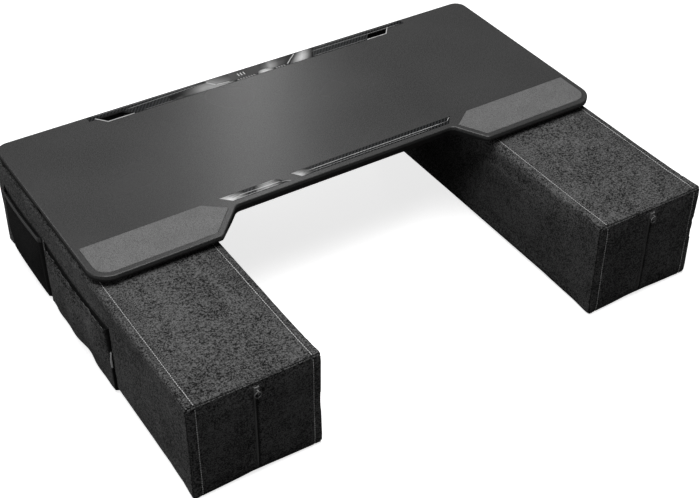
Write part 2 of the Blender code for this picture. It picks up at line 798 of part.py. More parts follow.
def lead_route():
    """The lead inside: from the side board inwards, round one bend, then back to the hub board."""
    height = FLOOR_TOP + BOARD_STANDOFF + LEAD_DIAMETER / 2
    start = Vector((side_board_left() + SIDE_BOARD_SIZE[0] + SEAT, SIDE_SOCKET_Y, height))
    corner = Vector((HUB_LEFT_X + SOCKET_PITCH / 2, SIDE_SOCKET_Y, height))
    end = Vector((corner.x, hub_back() - HUB_BOARD_DEPTH - SEAT, height))
    return start, corner, end


def cover_axis():
    """The bay cover's hinge axis: (y, z)."""
    return BAY_FRONT_Y + RUN + COVER_THICKNESS, BOARD_UNDERSIDE + COVER_THICKNESS


def cable_bay_cover():
    """A plate with a hinge barrel and stub pins along its front edge and a finger notch at the back."""
    y, z = cover_axis()
    left = -WINDOW_LEFT + RUN
    right = WINDOW_RIGHT - RUN
    plate = block("cable_bay_cover", (left, y, BOARD_UNDERSIDE), (right, BAY_BACK_Y - RUN, z), PARTS)
    barrel = rod("cover_barrel", (left, y, z), (right, y, z), COVER_THICKNESS, 16)
    boolean(plate, barrel, "UNION")
    pin = rod(
        "cover_pins", (left - COVER_PIN_LENGTH, y, z), (right + COVER_PIN_LENGTH, y, z),
        COVER_PIN_RADIUS, 16,
    )
    boolean(plate, pin, "UNION")
    middle = (left + right) / 2
    notch = rod(
        "finger_notch", (middle, BAY_BACK_Y, BOARD_UNDERSIDE - BEYOND),
        (middle, BAY_BACK_Y, BOARD_UNDERSIDE + BEYOND), FINGER_NOTCH_RADIUS, 24,
    )
    boolean(plate, notch)
    return plate


def wrist_pad(side, name):
    """A grained pad that fills its recess and stands a little proud."""
    low = BOARD_TOP - PAD_RECESS + SEAT
    pad = slab(name, rounded(pad_outline(side)), low, low + PAD_THICKNESS)
    round_level_edges(pad, low + PAD_THICKNESS, PAD_EDGE_ROUNDING)
    return pad


def trim_plate(name, corners):
    """A thin trim in its recess, flush with the top."""
    high = BOARD_TOP
    return slab(name, rounded(corners), high - TRIM_THICKNESS, high)


def trim_cut_outline(side):
    """What a port, its edging and the corner outside them take out of the rear trim."""
    inner_front, _, outer_back, inner_back = port_corners(side)
    front = inner_front[1] - PORT_EDGING - BEYOND
    tail = BOARD_DEPTH - REAR_TRIM_FROM_BACK - REAR_TRIM_END_DEPTH
    back = outer_back[1] + SEAT
    lean = PORT_SLANT / PORT_DEPTH
    play = SEAT * math.hypot(1, lean)
    return on_side(side, [
        (inner_front[0], front, 0),
        (HALF_WIDTH, front, 0),
        (HALF_WIDTH, tail, 0),
        (edging_line_x(tail) + play, tail, 0),
        (edging_line_x(back) + play, back, 0),
        (inner_back[0] + SEAT * lean, back, 0),
        inner_front,
    ])


def rear_trim():
    """The rear trim, with the two ports and their edging cut out."""
    low, high = rear_trim_band(0)
    trim = block("rear_trim_strip", (*low, BOARD_TOP - TRIM_THICKNESS), (*high, BOARD_TOP), PARTS)
    for side, name in ((-1, "left"), (1, "right")):
        gap = slab(
            f"{name}_trim_cut", rounded(trim_cut_outline(side)),
            BOARD_TOP - BEYOND, BOARD_TOP + BEYOND, CUTTERS,
        )
        boolean(trim, gap)
    return trim


def port_trim(side, name):
    """Bright edging of a port, let into the same recess as the rear trim and a hair proud of the top."""
    low = BOARD_TOP - TRIM_RECESS + SEAT
    return slab(name, rounded(port_edging_outline(side)), low, BOARD_TOP + PORT_EDGING_PROUD)


def shell_screws():
    """Eight pan-head screws that share one mesh, a turned profile with a hex drive."""
    low = BOARD_UNDERSIDE + HEAD_SINK - SEAT - SCREW_HEAD_HEIGHT
    seat = BOARD_UNDERSIDE + HEAD_SINK - SEAT
    tip = BOARD_TOP - TOP_PLATE / 2 - SEAT
    profile = [
        (0, tip),
        (SCREW_SHANK_RADIUS * 0.6, tip),
        (SCREW_SHANK_RADIUS, tip - SCREW_SHANK_RADIUS * 0.6),
        (SCREW_SHANK_RADIUS, seat),
        (SCREW_HEAD_RADIUS, seat),
        (SCREW_HEAD_RADIUS, low + SCREW_HEAD_HEIGHT * 0.4),
        (SCREW_HEAD_RADIUS * 0.75, low),
        (SCREW_DRIVE_RADIUS, low),
        (SCREW_DRIVE_RADIUS, low + SCREW_DRIVE_DEPTH),
        (0, low + SCREW_DRIVE_DEPTH),
    ]
    return placed_copies("shell_screw", turned("shell_screw", profile, 10), screw_places())


def placed_copies(name, mesh, places):
    """One numbered object for each (x, y), all with the same mesh."""
    copies = []
    for index, (x, y) in enumerate(places):
        copy = add_object(f"{name}_{index + 1}", mesh)
        copy.location = (x, y, 0)
        copies.append(copy)
    return copies


def turned(name, profile, steps):
    """A closed solid of revolution about Z from a profile of (radius, z), top to bottom."""
    mesh = bpy.data.meshes.new(name)
    edges = [(index, index + 1) for index in range(len(profile) - 1)]
    mesh.from_pydata([(radius, 0, z) for radius, z in profile], edges, [])
    shape = bpy.data.objects.new(name, mesh)
    bpy.context.scene.collection.objects.link(shape)
    screw = shape.modifiers.new("turn", "SCREW")
    screw.steps = steps
    screw.render_steps = steps
    screw.use_merge_vertices = True
    screw.merge_threshold = 0.00001
    result = bpy.data.meshes.new_from_object(shape.evaluated_get(bpy.context.evaluated_depsgraph_get()))
    bpy.data.objects.remove(shape, do_unlink=True)
    return result


def grip_pads():
    """Four thin grip pads in their seats; they share one mesh."""
    high = BOARD_UNDERSIDE + GRIP_RECESS - SEAT
    work = bmesh.new()
    place = Matrix.Translation((0, 0, high - GRIP_THICKNESS / 2))
    size = Matrix.Diagonal((GRIP_SIZE[0], GRIP_SIZE[1], GRIP_THICKNESS, 1))
    bmesh.ops.create_cube(work, size=1, matrix=place @ size)
    mesh = bpy.data.meshes.new("grip_pad")
    work.to_mesh(mesh)
    work.free()
    return placed_copies("grip_pad", mesh, grip_places())


def socket_mesh(name, width):
    """A sheet-metal socket that faces +Y: a box open at its mouth, with a tongue inside.

    Its mouth's lower edge is at the mesh's origin.
    """
    work = bmesh.new()
    place = Matrix.Translation((0, -SOCKET_LENGTH / 2, SOCKET_HEIGHT / 2))
    size = Matrix.Diagonal((width, SOCKET_LENGTH, SOCKET_HEIGHT, 1))
    bmesh.ops.create_cube(work, size=1, matrix=place @ size)
    face = [face for face in work.faces if face.normal.y > 0.5]
    bmesh.ops.inset_region(work, faces=face, thickness=SOCKET_SHEET)
    inner_end = push_face(work, face, -SOCKET_LENGTH + 2 * SOCKET_SHEET)
    inner_height = SOCKET_HEIGHT - 2 * SOCKET_SHEET
    bmesh.ops.inset_region(work, faces=inner_end, thickness=(inner_height - SOCKET_TONGUE) / 2)
    push_face(work, inner_end, SOCKET_LENGTH * 0.7)
    bmesh.ops.recalc_face_normals(work, faces=work.faces)
    mesh = bpy.data.meshes.new(name)
    work.to_mesh(mesh)
    work.free()
    return mesh


def push_face(work, faces, distance):
    """Extrude a face along Y and return the moved face."""
    pushed = bmesh.ops.extrude_face_region(work, geom=faces)
    bmesh.ops.delete(work, geom=faces, context="FACES_ONLY")
    verts = [item for item in pushed["geom"] if isinstance(item, bmesh.types.BMVert)]
    bmesh.ops.translate(work, verts=verts, vec=(0, distance, 0))
    return [item for item in pushed["geom"] if isinstance(item, bmesh.types.BMFace)]


def bay_sockets():
    """The sockets that open into the cable bay, side by side."""
    places = [(x, BAY_FRONT_Y - SEAT) for x in socket_places()[0]]
    sockets = placed_copies("bay_socket", socket_mesh("bay_socket", SOCKET_WIDTH), places)
    for socket in sockets:
        socket.location.z = FLOOR_TOP + SOCKET_STANDOFF
    return sockets


def hub_inlet():
    """The smaller inlet beside the sockets, for the hub's own lead."""
    inlet = add_object("hub_inlet", socket_mesh("hub_inlet", INLET_WIDTH))
    inlet.location = (socket_places()[1], BAY_FRONT_Y - SEAT, FLOOR_TOP + SOCKET_STANDOFF)
    return inlet


def side_socket():
    """The socket in the board's left side wall."""
    socket = add_object("side_socket", socket_mesh("side_socket", SOCKET_WIDTH))
    socket.location = (-HALF_WIDTH + TRAY_STEP + SEAT, SIDE_SOCKET_Y, FLOOR_TOP + SOCKET_STANDOFF)
    socket.rotation_euler.z = math.pi / 2
    return socket


def circuit_board(name, left, low_y, depth, width):
    """A flat circuit board just over the tray's floor."""
    low = FLOOR_TOP + BOARD_STANDOFF
    return block(name, (left, low_y, low), (left + depth, low_y + width, low + BOARD_SHEET), PARTS)


def hub_board():
    """The hub's circuit board, in front of the sockets of the cable bay."""
    width = socket_places()[1] + SOCKET_PITCH / 2 - HUB_LEFT_X
    return circuit_board("hub_board", HUB_LEFT_X, hub_back() - HUB_BOARD_DEPTH, width, HUB_BOARD_DEPTH)


def side_port_board():
    """The small circuit board beside the side socket."""
    depth, width = SIDE_BOARD_SIZE
    return circuit_board("side_port_board", side_board_left(), SIDE_SOCKET_Y - width / 2, depth, width)


def side_port_lead():
    """The lead between the two boards: one bend of even radius."""
    start, corner, end = lead_route()
    path = [start]
    for step in range(7):
        angle = math.pi / 2 * step / 6
        path.append(Vector((
            corner.x - LEAD_BEND + LEAD_BEND * math.sin(angle),
            corner.y + LEAD_BEND - LEAD_BEND * math.cos(angle),
            corner.z,
        )))
    path.append(end)
    curve = bpy.data.curves.new("side_port_lead", "CURVE")
    curve.dimensions = "3D"
    curve.bevel_depth = LEAD_DIAMETER / 2
    curve.bevel_resolution = 2
    curve.use_fill_caps = True
    curve.resolution_u = 1
    spline = curve.splines.new("POLY")
    spline.points.add(len(path) - 1)
    for point, place in zip(spline.points, path):
        point.co = (*place, 1)
    lead = bpy.data.objects.new("side_port_lead", curve)
    bpy.data.collections[PARTS].objects.link(lead)
    return lead


# Cushions

def crown(value, half):
    """1 in the middle of a span and 0 at its two ends."""
    share = min(abs(value) / half, 1)
    return 1 - share * share


def side_crown_at(y_from_middle, share=1):
    """How far a cushion's long side stands out at a place along its length."""
    return SIDE_CROWN * share * crown(y_from_middle, CUSHION_LENGTH / 2) - SEAM_DRAW


def cushion_block(name, left, front, shrink, front_extra, share=1, collection=PARTS):
    """A box cushion with crowned faces, flat below and where the board lies on it.

    Shrink moves every face inwards, front_extra the front one besides, and share flattens the crowns.
    """
    width = CUSHION_WIDTH - 2 * shrink
    height = CUSHION_HEIGHT - 2 * shrink
    low_y = front + shrink + front_extra
    high_y = front + CUSHION_LENGTH - shrink
    middle = Vector((left + CUSHION_WIDTH / 2, front + CUSHION_LENGTH / 2, CUSHION_HEIGHT / 2))
    work = bmesh.new()
    place = Matrix.Translation((middle.x, (low_y + high_y) / 2, middle.z))
    bmesh.ops.create_cube(work, size=1, matrix=place @ Matrix.Diagonal((width, high_y - low_y, height, 1)))
    bmesh.ops.bevel(
        work, geom=work.edges[:], offset=max(SEAM_ROUNDING - shrink, 0.002), segments=2,
        profile=0.5, affect="EDGES", clamp_overlap=True, material=-1,
    )
    cuts = [((0, front + CUSHION_LENGTH * part, 0), (0, 1, 0)) for part in
            (0.04, 0.10, 0.18, 0.26, 0.34, 0.40, 0.55, 0.70, 0.85)]
    cuts += [((middle.x + CUSHION_WIDTH * part, 0, 0), (1, 0, 0)) for part in (-0.3, -0.1, 0.1, 0.3)]
    cuts += [((0, 0, CUSHION_HEIGHT * part), (0, 0, 1)) for part in (0.25, 0.5, 0.75)]
    for point, normal in cuts:
        bmesh.ops.bisect_plane(
            work, geom=work.verts[:] + work.edges[:] + work.faces[:], dist=0.00001,
            plane_co=point, plane_no=normal,
        )
    for vert in work.verts:
        crown_point(vert, middle, front, share)
    return finish_mesh(name, work, collection)


def crown_point(vert, middle, front, share):
    """Move one point of the box out to the crowned face, or in where a seam pulls."""
    across = (vert.co.x - middle.x) / (CUSHION_WIDTH / 2)
    along = vert.co.y - middle.y
    upward = (vert.co.z - middle.z) / (CUSHION_HEIGHT / 2)
    bow = END_CROWN * share * crown(across, 1)
    if upward > 0:
        place = min(max((vert.co.y - front) / (-SEAT - front), 0), 1)
        droop = TOP_DROOP * math.sin(math.pi * place)
        vert.co.z -= droop * (1 - crown(across, 1)) * upward
    vert.co.x += side_crown_at(along, share) * across
    vert.co.y += bow * along / (CUSHION_LENGTH / 2)


def cushion_foam(name, left, front):
    """The foam block inside a cover."""
    return cushion_block(name, left, front, COVER_CLOTH + SEAT, FOAM_FRONT_CLEARANCE, FOAM_SHARE)


def cushion_cover(name, left, front):
    """The cover: the cushion's outer form, hollow for the foam, slit in front for the zip."""
    cover = cushion_block(name, left, front, 0, 0)
    hollow = cushion_block(f"{name}_hollow", left, front, COVER_CLOTH, 0, 1, CUTTERS)
    boolean(cover, hollow)
    middle = left + CUSHION_WIDTH / 2
    slit = block(
        f"{name}_slit",
        (middle - ZIP_SLIT / 2, front - END_CROWN - BEYOND, ZIP_FOOT),
        (middle + ZIP_SLIT / 2, front + FOAM_FRONT_CLEARANCE, CUSHION_HEIGHT - ZIP_HEAD),
    )
    boolean(cover, slit)
    return cover


def zip_face(front):
    """y of the cover's outer face along the zip."""
    return front - END_CROWN


def zip_tape(name, left, front):
    """The tape behind the slit with the closed chain as a ridge down its middle."""
    middle = left + CUSHION_WIDTH / 2
    back_of_cover = zip_face(front) + COVER_CLOTH + SEAT
    low = ZIP_FOOT - SEAT
    high = CUSHION_HEIGHT - ZIP_HEAD + SEAT
    tape = block(
        name, (middle - TAPE_WIDTH / 2, back_of_cover + SEAT, low),
        (middle + TAPE_WIDTH / 2, back_of_cover + SEAT + TAPE_THICKNESS, high), PARTS,
    )
    chain = block(
        f"{name}_chain", (middle - CHAIN_WIDTH / 2, zip_face(front), low + 2 * SEAT),
        (middle + CHAIN_WIDTH / 2, back_of_cover + SEAT + TAPE_THICKNESS / 2, high - 2 * SEAT),
    )
    boolean(tape, chain, "UNION")
    return tape


def slider_middle(left, front):
    """Middle of the slider's front plate when the zip is closed."""
    height = CUSHION_HEIGHT - ZIP_HEAD - SLIDER_FROM_HEAD
    return Vector((left + CUSHION_WIDTH / 2, zip_face(front) - SEAT - SLIDER_PLATE, height))


def ring_hole_radius():
    """The hole in the slider's loop, wider than the ring's wire."""
    return RING_WIRE / 2 + RING_HOLE_CLEARANCE


def ring_axis(left, front):
    """A point on the ring's hinge axis: the middle of the hole in the slider's loop."""
    face = slider_middle(left, front)
    return Vector((face.x, face.y - LOOP_REACH / 2, face.z - LOOP_DROP))


def zip_slider(name, left, front):
    """The slider: a plate that straddles the chain with two flanges, and a loop for the ring."""
    face = slider_middle(left, front)
    flange_back = zip_face(front) + COVER_CLOTH - SEAT
    body = block(
        name, (face.x - SLIDER_WIDTH / 2, face.y, face.z - SLIDER_HEIGHT / 2),
        (face.x + SLIDER_WIDTH / 2, flange_back, face.z + SLIDER_HEIGHT / 2), PARTS,
    )
    half = SLIDER_WIDTH / 2 - SLIDER_FLANGE
    channel = block(
        f"{name}_channel", (face.x - half, face.y + SLIDER_PLATE, face.z - SLIDER_HEIGHT),
        (face.x + half, flange_back + BEYOND, face.z + SLIDER_HEIGHT),
    )
    boolean(body, channel)
    axis = ring_axis(left, front)
    loop = block(
        f"{name}_loop",
        (face.x - LOOP_WIDTH / 2, face.y - LOOP_REACH, axis.z - LOOP_HEIGHT / 2),
        (face.x + LOOP_WIDTH / 2, face.y + SLIDER_PLATE / 2, axis.z + LOOP_HEIGHT / 2),
    )
    boolean(body, loop, "UNION")
    hole = rod(
        f"{name}_hole", (axis.x - SLIDER_WIDTH, axis.y, axis.z), (axis.x + SLIDER_WIDTH, axis.y, axis.z),
        ring_hole_radius(), 16,
    )
    boolean(body, hole)
    return body


def zip_pull(name, left, front):
    """The ring that hangs through the slider's loop; its origin is on its hinge axis."""
    axis = ring_axis(left, front)
    bpy.ops.mesh.primitive_torus_add(
        major_radius=RING_RADIUS, minor_radius=RING_WIRE / 2, major_segments=24, minor_segments=8,
    )
    ring = bpy.context.active_object
    ring.name = name
    ring.data.name = name
    upright = Matrix.Rotation(math.pi / 2, 4, "X")
    ring.data.transform(Matrix.Translation((0, 0, -RING_RADIUS)) @ upright)
    for collection in list(ring.users_collection):
        collection.objects.unlink(ring)
    bpy.data.collections[PARTS].objects.link(ring)
    ring.location = axis
    bpy.context.view_layer.update()
    return ring


# Pockets on the left cushion

def left_face_x(y):
    """x of the left cushion's outer face at a place along it."""
    along = y - (LEFT_CUSHION_FRONT + CUSHION_LENGTH / 2)
    return LEFT_SIDE_X - side_crown_at(along)


def mesh_mouth(share):
    """Height of the mesh pocket's mouth, from its front end (-1) to its rear end (1)."""
    return MESH_POCKET_TOP - MESH_POCKET_SAG * (1 - share * share) + MESH_POCKET_RISE * share


def mesh_bulge(share, rise):
    """How far the mesh pocket stands off the cushion."""
    return MESH_POCKET_BULGE * (1 - share ** 4) * math.sin(math.pi / 2 * min(rise * 1.6, 1)) ** 0.7


def suede_mouth(share):
    """Height of the suede pocket's mouth; it sags in the middle."""
    return SUEDE_POCKET_TOP - SUEDE_POCKET_SAG * (1 - share * share) ** 1.5


def suede_bulge(share, rise):
    """The suede pocket gapes at its mouth and hangs in a few soft folds."""
    gape = SUEDE_POCKET_LOW_GAPE + (1 - SUEDE_POCKET_LOW_GAPE) * rise
    open_part = SUEDE_POCKET_BULGE * (1 - share ** 4) * gape * min(rise * 3, 1)
    fold = SUEDE_POCKET_FOLD * math.cos(SUEDE_POCKET_FOLDS * math.pi * share) * (1 - share ** 2)
    return open_part + fold * min(rise * 2, 1)


def pocket_sheet(name, span, mouth, bulge, foot, cloth, columns, rows):
    """A sewn-on pocket: a sheet that leaves the cushion's side along three edges and gapes at the top."""
    work = bmesh.new()
    bmesh.ops.create_grid(work, x_segments=columns, y_segments=rows, size=1)
    middle = (span[0] + span[1]) / 2
    half = (span[1] - span[0]) / 2
    for vert in work.verts:
        share = vert.co.x
        rise = (vert.co.y + 1) / 2
        y = middle + half * share
        z = foot(share) + (mouth(share) - foot(share)) * rise
        x = left_face_x(y) - SEAT - max(bulge(share, rise), 0)
        vert.co = (x, y, z)
    bmesh.ops.recalc_face_normals(work, faces=work.faces)
    outward = sum((face.normal.x for face in work.faces))
    if outward > 0:
        bmesh.ops.reverse_faces(work, faces=work.faces)
    sheet = finish_mesh(name, work, PARTS)
    thick = sheet.modifiers.new("cloth", "SOLIDIFY")
    thick.thickness = cloth
    thick.offset = 1
    thick.use_even_offset = False
    return sheet


def mesh_pocket():
    """The rear pocket of netting."""
    return pocket_sheet(
        "mesh_pocket", MESH_POCKET_Y, lambda share: mesh_mouth(share) - BINDING_HEIGHT - SEAT,
        lambda share, rise: mesh_bulge(share, rise * 0.92), lambda share: POCKET_FOOT,
        POCKET_CLOTH, 14, 8,
    )


def mesh_pocket_binding():
    """The elastic binding along the netting's mouth."""
    return pocket_sheet(
        "mesh_pocket_binding", MESH_POCKET_Y, mesh_mouth,
        lambda share, rise: mesh_bulge(share, 0.92 + 0.08 * rise),
        lambda share: mesh_mouth(share) - BINDING_HEIGHT, BINDING_THICKNESS, 14, 2,
    )


def suede_pocket():
    """The front pocket of the cover's own cloth."""
    return pocket_sheet(
        "suede_pocket", SUEDE_POCKET_Y, suede_mouth, suede_bulge, lambda share: POCKET_FOOT,
        POCKET_CLOTH, 20, 8,
    )


def pocket_tag():
    """A small bare fabric tag sewn in at the suede pocket's front edge."""
    reach, thickness, height = TAG_SIZE
    y = SUEDE_POCKET_Y[0] - SEAT - thickness
    x = left_face_x(y) - SEAT
    return block(
        "pocket_tag", (x - reach, y, TAG_MIDDLE_Z - height / 2),
        (x, y + thickness, TAG_MIDDLE_Z + height / 2), PARTS,
    )


# Assembly

def materials():
    """One material for each finish, under a plain name."""
    return {
        "dark_plastic": finish_material("dark_plastic", (0.062, 0.062, 0.063), 0.42),
        "tray_plastic": finish_material("tray_plastic", (0.012, 0.012, 0.012), 0.5),
        "pad_grain": finish_material("pad_grain", (0.13, 0.13, 0.13), 0.6),
        "trim_dark": finish_material("trim_dark", (0.03, 0.03, 0.033), 0.3),
        "bright_trim": finish_material("bright_trim", (0.75, 0.75, 0.77), 0.25, 1.0),
        "circuit_green": finish_material("circuit_green", (0.02, 0.09, 0.03), 0.5),
        "socket_steel": finish_material("socket_steel", (0.55, 0.55, 0.57), 0.35, 1.0),
        "cable_black": finish_material("cable_black", (0.015, 0.015, 0.015), 0.5),
        "screw_steel": finish_material("screw_steel", (0.10, 0.10, 0.11), 0.4, 1.0),
        "grip_rubber": finish_material("grip_rubber", (0.02, 0.02, 0.02), 0.9),
        "suede": finish_material("suede", (0.045, 0.045, 0.046), 0.95),
        "foam": finish_material("foam", (0.5, 0.5, 0.48), 0.95),
        "zip_cloth": finish_material("zip_cloth", (0.012, 0.012, 0.012), 0.8),
        "zip_metal": finish_material("zip_metal", (0.06, 0.06, 0.065), 0.4, 1.0),
        "netting": finish_material("netting", (0.012, 0.012, 0.013), 0.9),
        "binding": finish_material("binding", (0.09, 0.09, 0.09), 0.9),
        "tag_white": finish_material("tag_white", (0.7, 0.7, 0.7), 0.9),
    }


def build_board(finish, parent):
    """All pieces of the board."""
    pieces = [
        (top_shell(), "dark_plastic"),
        (bottom_shell(), "tray_plastic"),
        (cable_trough("left_cable_trough", -BAY_LEFT + SEAT, -WINDOW_LEFT), "tray_plastic"),
        (cable_trough("right_cable_trough", BAY_RIGHT - SEAT, WINDOW_RIGHT), "tray_plastic"),
        (wrist_pad(-1, "left_wrist_pad"), "pad_grain"),
        (wrist_pad(1, "right_wrist_pad"), "pad_grain"),
        (rear_trim(), "trim_dark"),
        (trim_plate("front_left_trim", front_trim_outline(FRONT_LEFT_TRIM, LEFT_BLADE_END_SLANT)),
         "trim_dark"),
        (trim_plate("front_right_trim", front_trim_outline(FRONT_RIGHT_TRIM, RIGHT_BLADE_END_SLANT)),
         "trim_dark"),
        (port_trim(-1, "left_port_trim"), "bright_trim"),
        (port_trim(1, "right_port_trim"), "bright_trim"),
        (hub_board(), "circuit_green"),
        (side_port_board(), "circuit_green"),
        (hub_inlet(), "socket_steel"),
        (side_socket(), "socket_steel"),
    ]
    pieces += [(socket, "socket_steel") for socket in bay_sockets()]
    pieces += [(screw, "screw_steel") for screw in shell_screws()]
    pieces += [(pad, "grip_rubber") for pad in grip_pads()]
    for obj, name in pieces:
        make_part(obj, finish[name], parent)
    lead = side_port_lead()
    lead.data.materials.append(finish["cable_black"])
    lead.parent = parent
    lead.matrix_parent_inverse = parent.matrix_world.inverted()
    y, z = cover_axis()
    hinge = add_empty("cover_hinge", (0, y, z), parent)
    make_part(cable_bay_cover(), finish["tray_plastic"], hinge)


def build_cushion(side_name, left, front, finish, parent):
    """One cushion with its cover, foam and zip."""
    make_part(cushion_cover(f"{side_name}_cushion_cover", left, front), finish["suede"], parent)
    make_part(cushion_foam(f"{side_name}_cushion_foam", left, front), finish["foam"], parent)
    make_part(zip_tape(f"{side_name}_zip_tape", left, front), finish["zip_cloth"], parent)
    runner = add_empty(f"{side_name}_zip_runner", slider_middle(left, front), parent)
    make_part(zip_slider(f"{side_name}_zip_slider", left, front), finish["zip_metal"], runner)
    make_part(zip_pull(f"{side_name}_zip_pull", left, front), finish["zip_metal"], runner)


def build_pockets(finish, parent):
    """The pockets and tag on the left cushion."""
    make_part(mesh_pocket(), finish["netting"], parent)
    make_part(mesh_pocket_binding(), finish["binding"], parent)
    make_part(suede_pocket(), finish["suede"], parent)
    make_part(pocket_tag(), finish["tag_white"], parent)


def centre_on_origin(base):
    """Move the assembly so that the middle of its footprint on the floor is the world origin."""
    bpy.context.view_layer.update()
    graph = bpy.context.evaluated_depsgraph_get()
    low = Vector((math.inf,) * 3)
    high = Vector((-math.inf,) * 3)
    for obj in bpy.data.collections[PARTS].objects:
        if obj.type == "EMPTY":
            continue
        shape = obj.evaluated_get(graph)
        mesh = shape.to_mesh()
        for vert in mesh.vertices:
            place = obj.matrix_world @ vert.co
            low = Vector(map(min, low, place))
            high = Vector(map(max, high, place))
        shape.to_mesh_clear()
    middle = (low + high) / 2
    base.location = (-middle.x, -middle.y, -low.z)
    for tool in bpy.data.collections[CUTTERS].objects:
        tool.parent = base
    bpy.context.view_layer.update()
    print("moved by", tuple(round(value, 6) for value in base.location))
    print("size", tuple(round(value, 6) for value in (high - low)))


def main():
    """Build the lap desk."""
    empty_scene()
    finish = materials()
    base = add_empty("lap_desk_base", (0, 0, 0))
    board = add_empty("board", (0, 0, BOARD_UNDERSIDE), base)
    left = add_empty("left_cushion", (LEFT_SIDE_X + CUSHION_WIDTH / 2, LEFT_CUSHION_FRONT, 0), base)
    right = add_empty("right_cushion", (RIGHT_SIDE_X + CUSHION_WIDTH / 2, RIGHT_CUSHION_FRONT, 0), base)
    build_board(finish, board)
    build_cushion("left", LEFT_SIDE_X, LEFT_CUSHION_FRONT, finish, left)
    build_cushion("right", RIGHT_SIDE_X, RIGHT_CUSHION_FRONT, finish, right)
    build_pockets(finish, left)
    centre_on_origin(base)


main()
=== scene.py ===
# %% [markdown]
# # A lap desk on two cushions
# The desk is a thin moulded board that lies on two box cushions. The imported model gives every
# hard piece its exact place. This lesson dresses it: the plastic gets a fine grain, the cushions
# are sewn and inflated, and threads, zips, netting and silver inlays are added.

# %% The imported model
import json
import math

import bmesh
import bpy
from mathutils import Matrix, Vector, noise
from mathutils.bvhtree import BVHTree


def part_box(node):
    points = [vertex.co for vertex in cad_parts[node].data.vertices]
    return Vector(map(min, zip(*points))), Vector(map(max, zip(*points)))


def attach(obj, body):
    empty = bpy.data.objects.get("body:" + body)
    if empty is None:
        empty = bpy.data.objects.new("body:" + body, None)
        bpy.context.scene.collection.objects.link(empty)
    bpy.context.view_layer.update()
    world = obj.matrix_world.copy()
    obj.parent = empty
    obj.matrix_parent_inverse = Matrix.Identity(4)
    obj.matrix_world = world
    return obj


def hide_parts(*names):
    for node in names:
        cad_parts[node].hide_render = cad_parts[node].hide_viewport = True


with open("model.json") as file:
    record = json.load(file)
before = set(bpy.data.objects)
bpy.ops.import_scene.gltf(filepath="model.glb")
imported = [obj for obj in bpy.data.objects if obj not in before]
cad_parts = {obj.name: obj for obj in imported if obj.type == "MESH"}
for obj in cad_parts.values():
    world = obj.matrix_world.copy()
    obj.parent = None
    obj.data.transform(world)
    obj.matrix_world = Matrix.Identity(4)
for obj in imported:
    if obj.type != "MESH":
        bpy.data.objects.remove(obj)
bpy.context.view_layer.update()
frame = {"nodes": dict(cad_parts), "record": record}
MM = 0.001

BODY_OF = {}
for body, nodes in frame["record"]["behaviour"]["bodies"].items():
    for node in nodes:
        BODY_OF[node] = body
SLOT_OF = {part["node"]: part["material_slot"] for part in frame["record"]["subparts"]}

# %% [markdown]
# The board's top cover gives the frame for all decoration on it. A place on the board is given
# in millimetres from the middle of its width and from its front edge, as a designer would
# dimension it.

# %% Places on the board
board_low, board_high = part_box("top_shell")
BOARD_MIDDLE = (board_low.x + board_high.x) / 2
BOARD_FRONT = board_low.y
BOARD_TOP = board_high.z


def on_board(x, y, z=0.0):
    """A place in metres from millimetres on the board's top face."""
    return Vector((BOARD_MIDDLE + x * MM, BOARD_FRONT + y * MM, BOARD_TOP + z * MM))


board_size = board_high - board_low
print("board", round(board_size.x / MM), "by", round(board_size.y / MM), "mm")

# %% [markdown]
# ## Camera
# The camera comes first. Its place was found from the corners of the board and of the cushions
# in the photograph, as a long lens from the front left.

# %% Camera
CAMERA_PLACE = on_board(-837.3, -1275.4, 1105.4)
CAMERA_LOOK = Vector((0.43368, 0.64869, -0.62540))
CAMERA_ROLL = math.radians(1.04)
CAMERA_LENS = 69.564
CAMERA_SHIFT = (-0.0390, -0.0026)

camera_data = bpy.data.cameras.new("camera")
camera_data.lens = CAMERA_LENS
camera_data.sensor_fit = "HORIZONTAL"
camera_data.shift_x, camera_data.shift_y = CAMERA_SHIFT
camera = bpy.data.objects.new("camera", camera_data)
bpy.context.scene.collection.objects.link(camera)
turn = CAMERA_LOOK.to_track_quat("-Z", "Y").to_matrix() @ Matrix.Rotation(CAMERA_ROLL, 3, "Z")
camera.matrix_world = Matrix.Translation(CAMERA_PLACE) @ turn.to_4x4()
bpy.context.scene.camera = camera
bpy.context.scene.view_settings.view_transform = "Standard"
print("camera at", [round(value, 3) for value in CAMERA_PLACE])

# %% [markdown]
# ## Light
# A big soft lamp high above gives the tops their light and leaves the front faces dark, and a
# weak low one lights the left side. Another stands far behind on the right, where the glossy
# board mirrors it towards the camera as a pale glow, and the last, low at the back left, draws a
# thin line along the board's rounded left edge.

# %% Lamps
def area_lamp(name, place, target, width, height, power):
    """A soft lamp of a width and height at a place, turned to a target."""
    data = bpy.data.lights.new(name, "AREA")
    data.shape = "RECTANGLE"
    data.size = width
    data.size_y = height
    data.energy = power
    lamp = bpy.data.objects.new(name, data)
    bpy.context.scene.collection.objects.link(lamp)
    aim = (Vector(target) - Vector(place)).to_track_quat("-Z", "Y")
    lamp.matrix_world = Matrix.Translation(Vector(place)) @ aim.to_matrix().to_4x4()
    return lamp


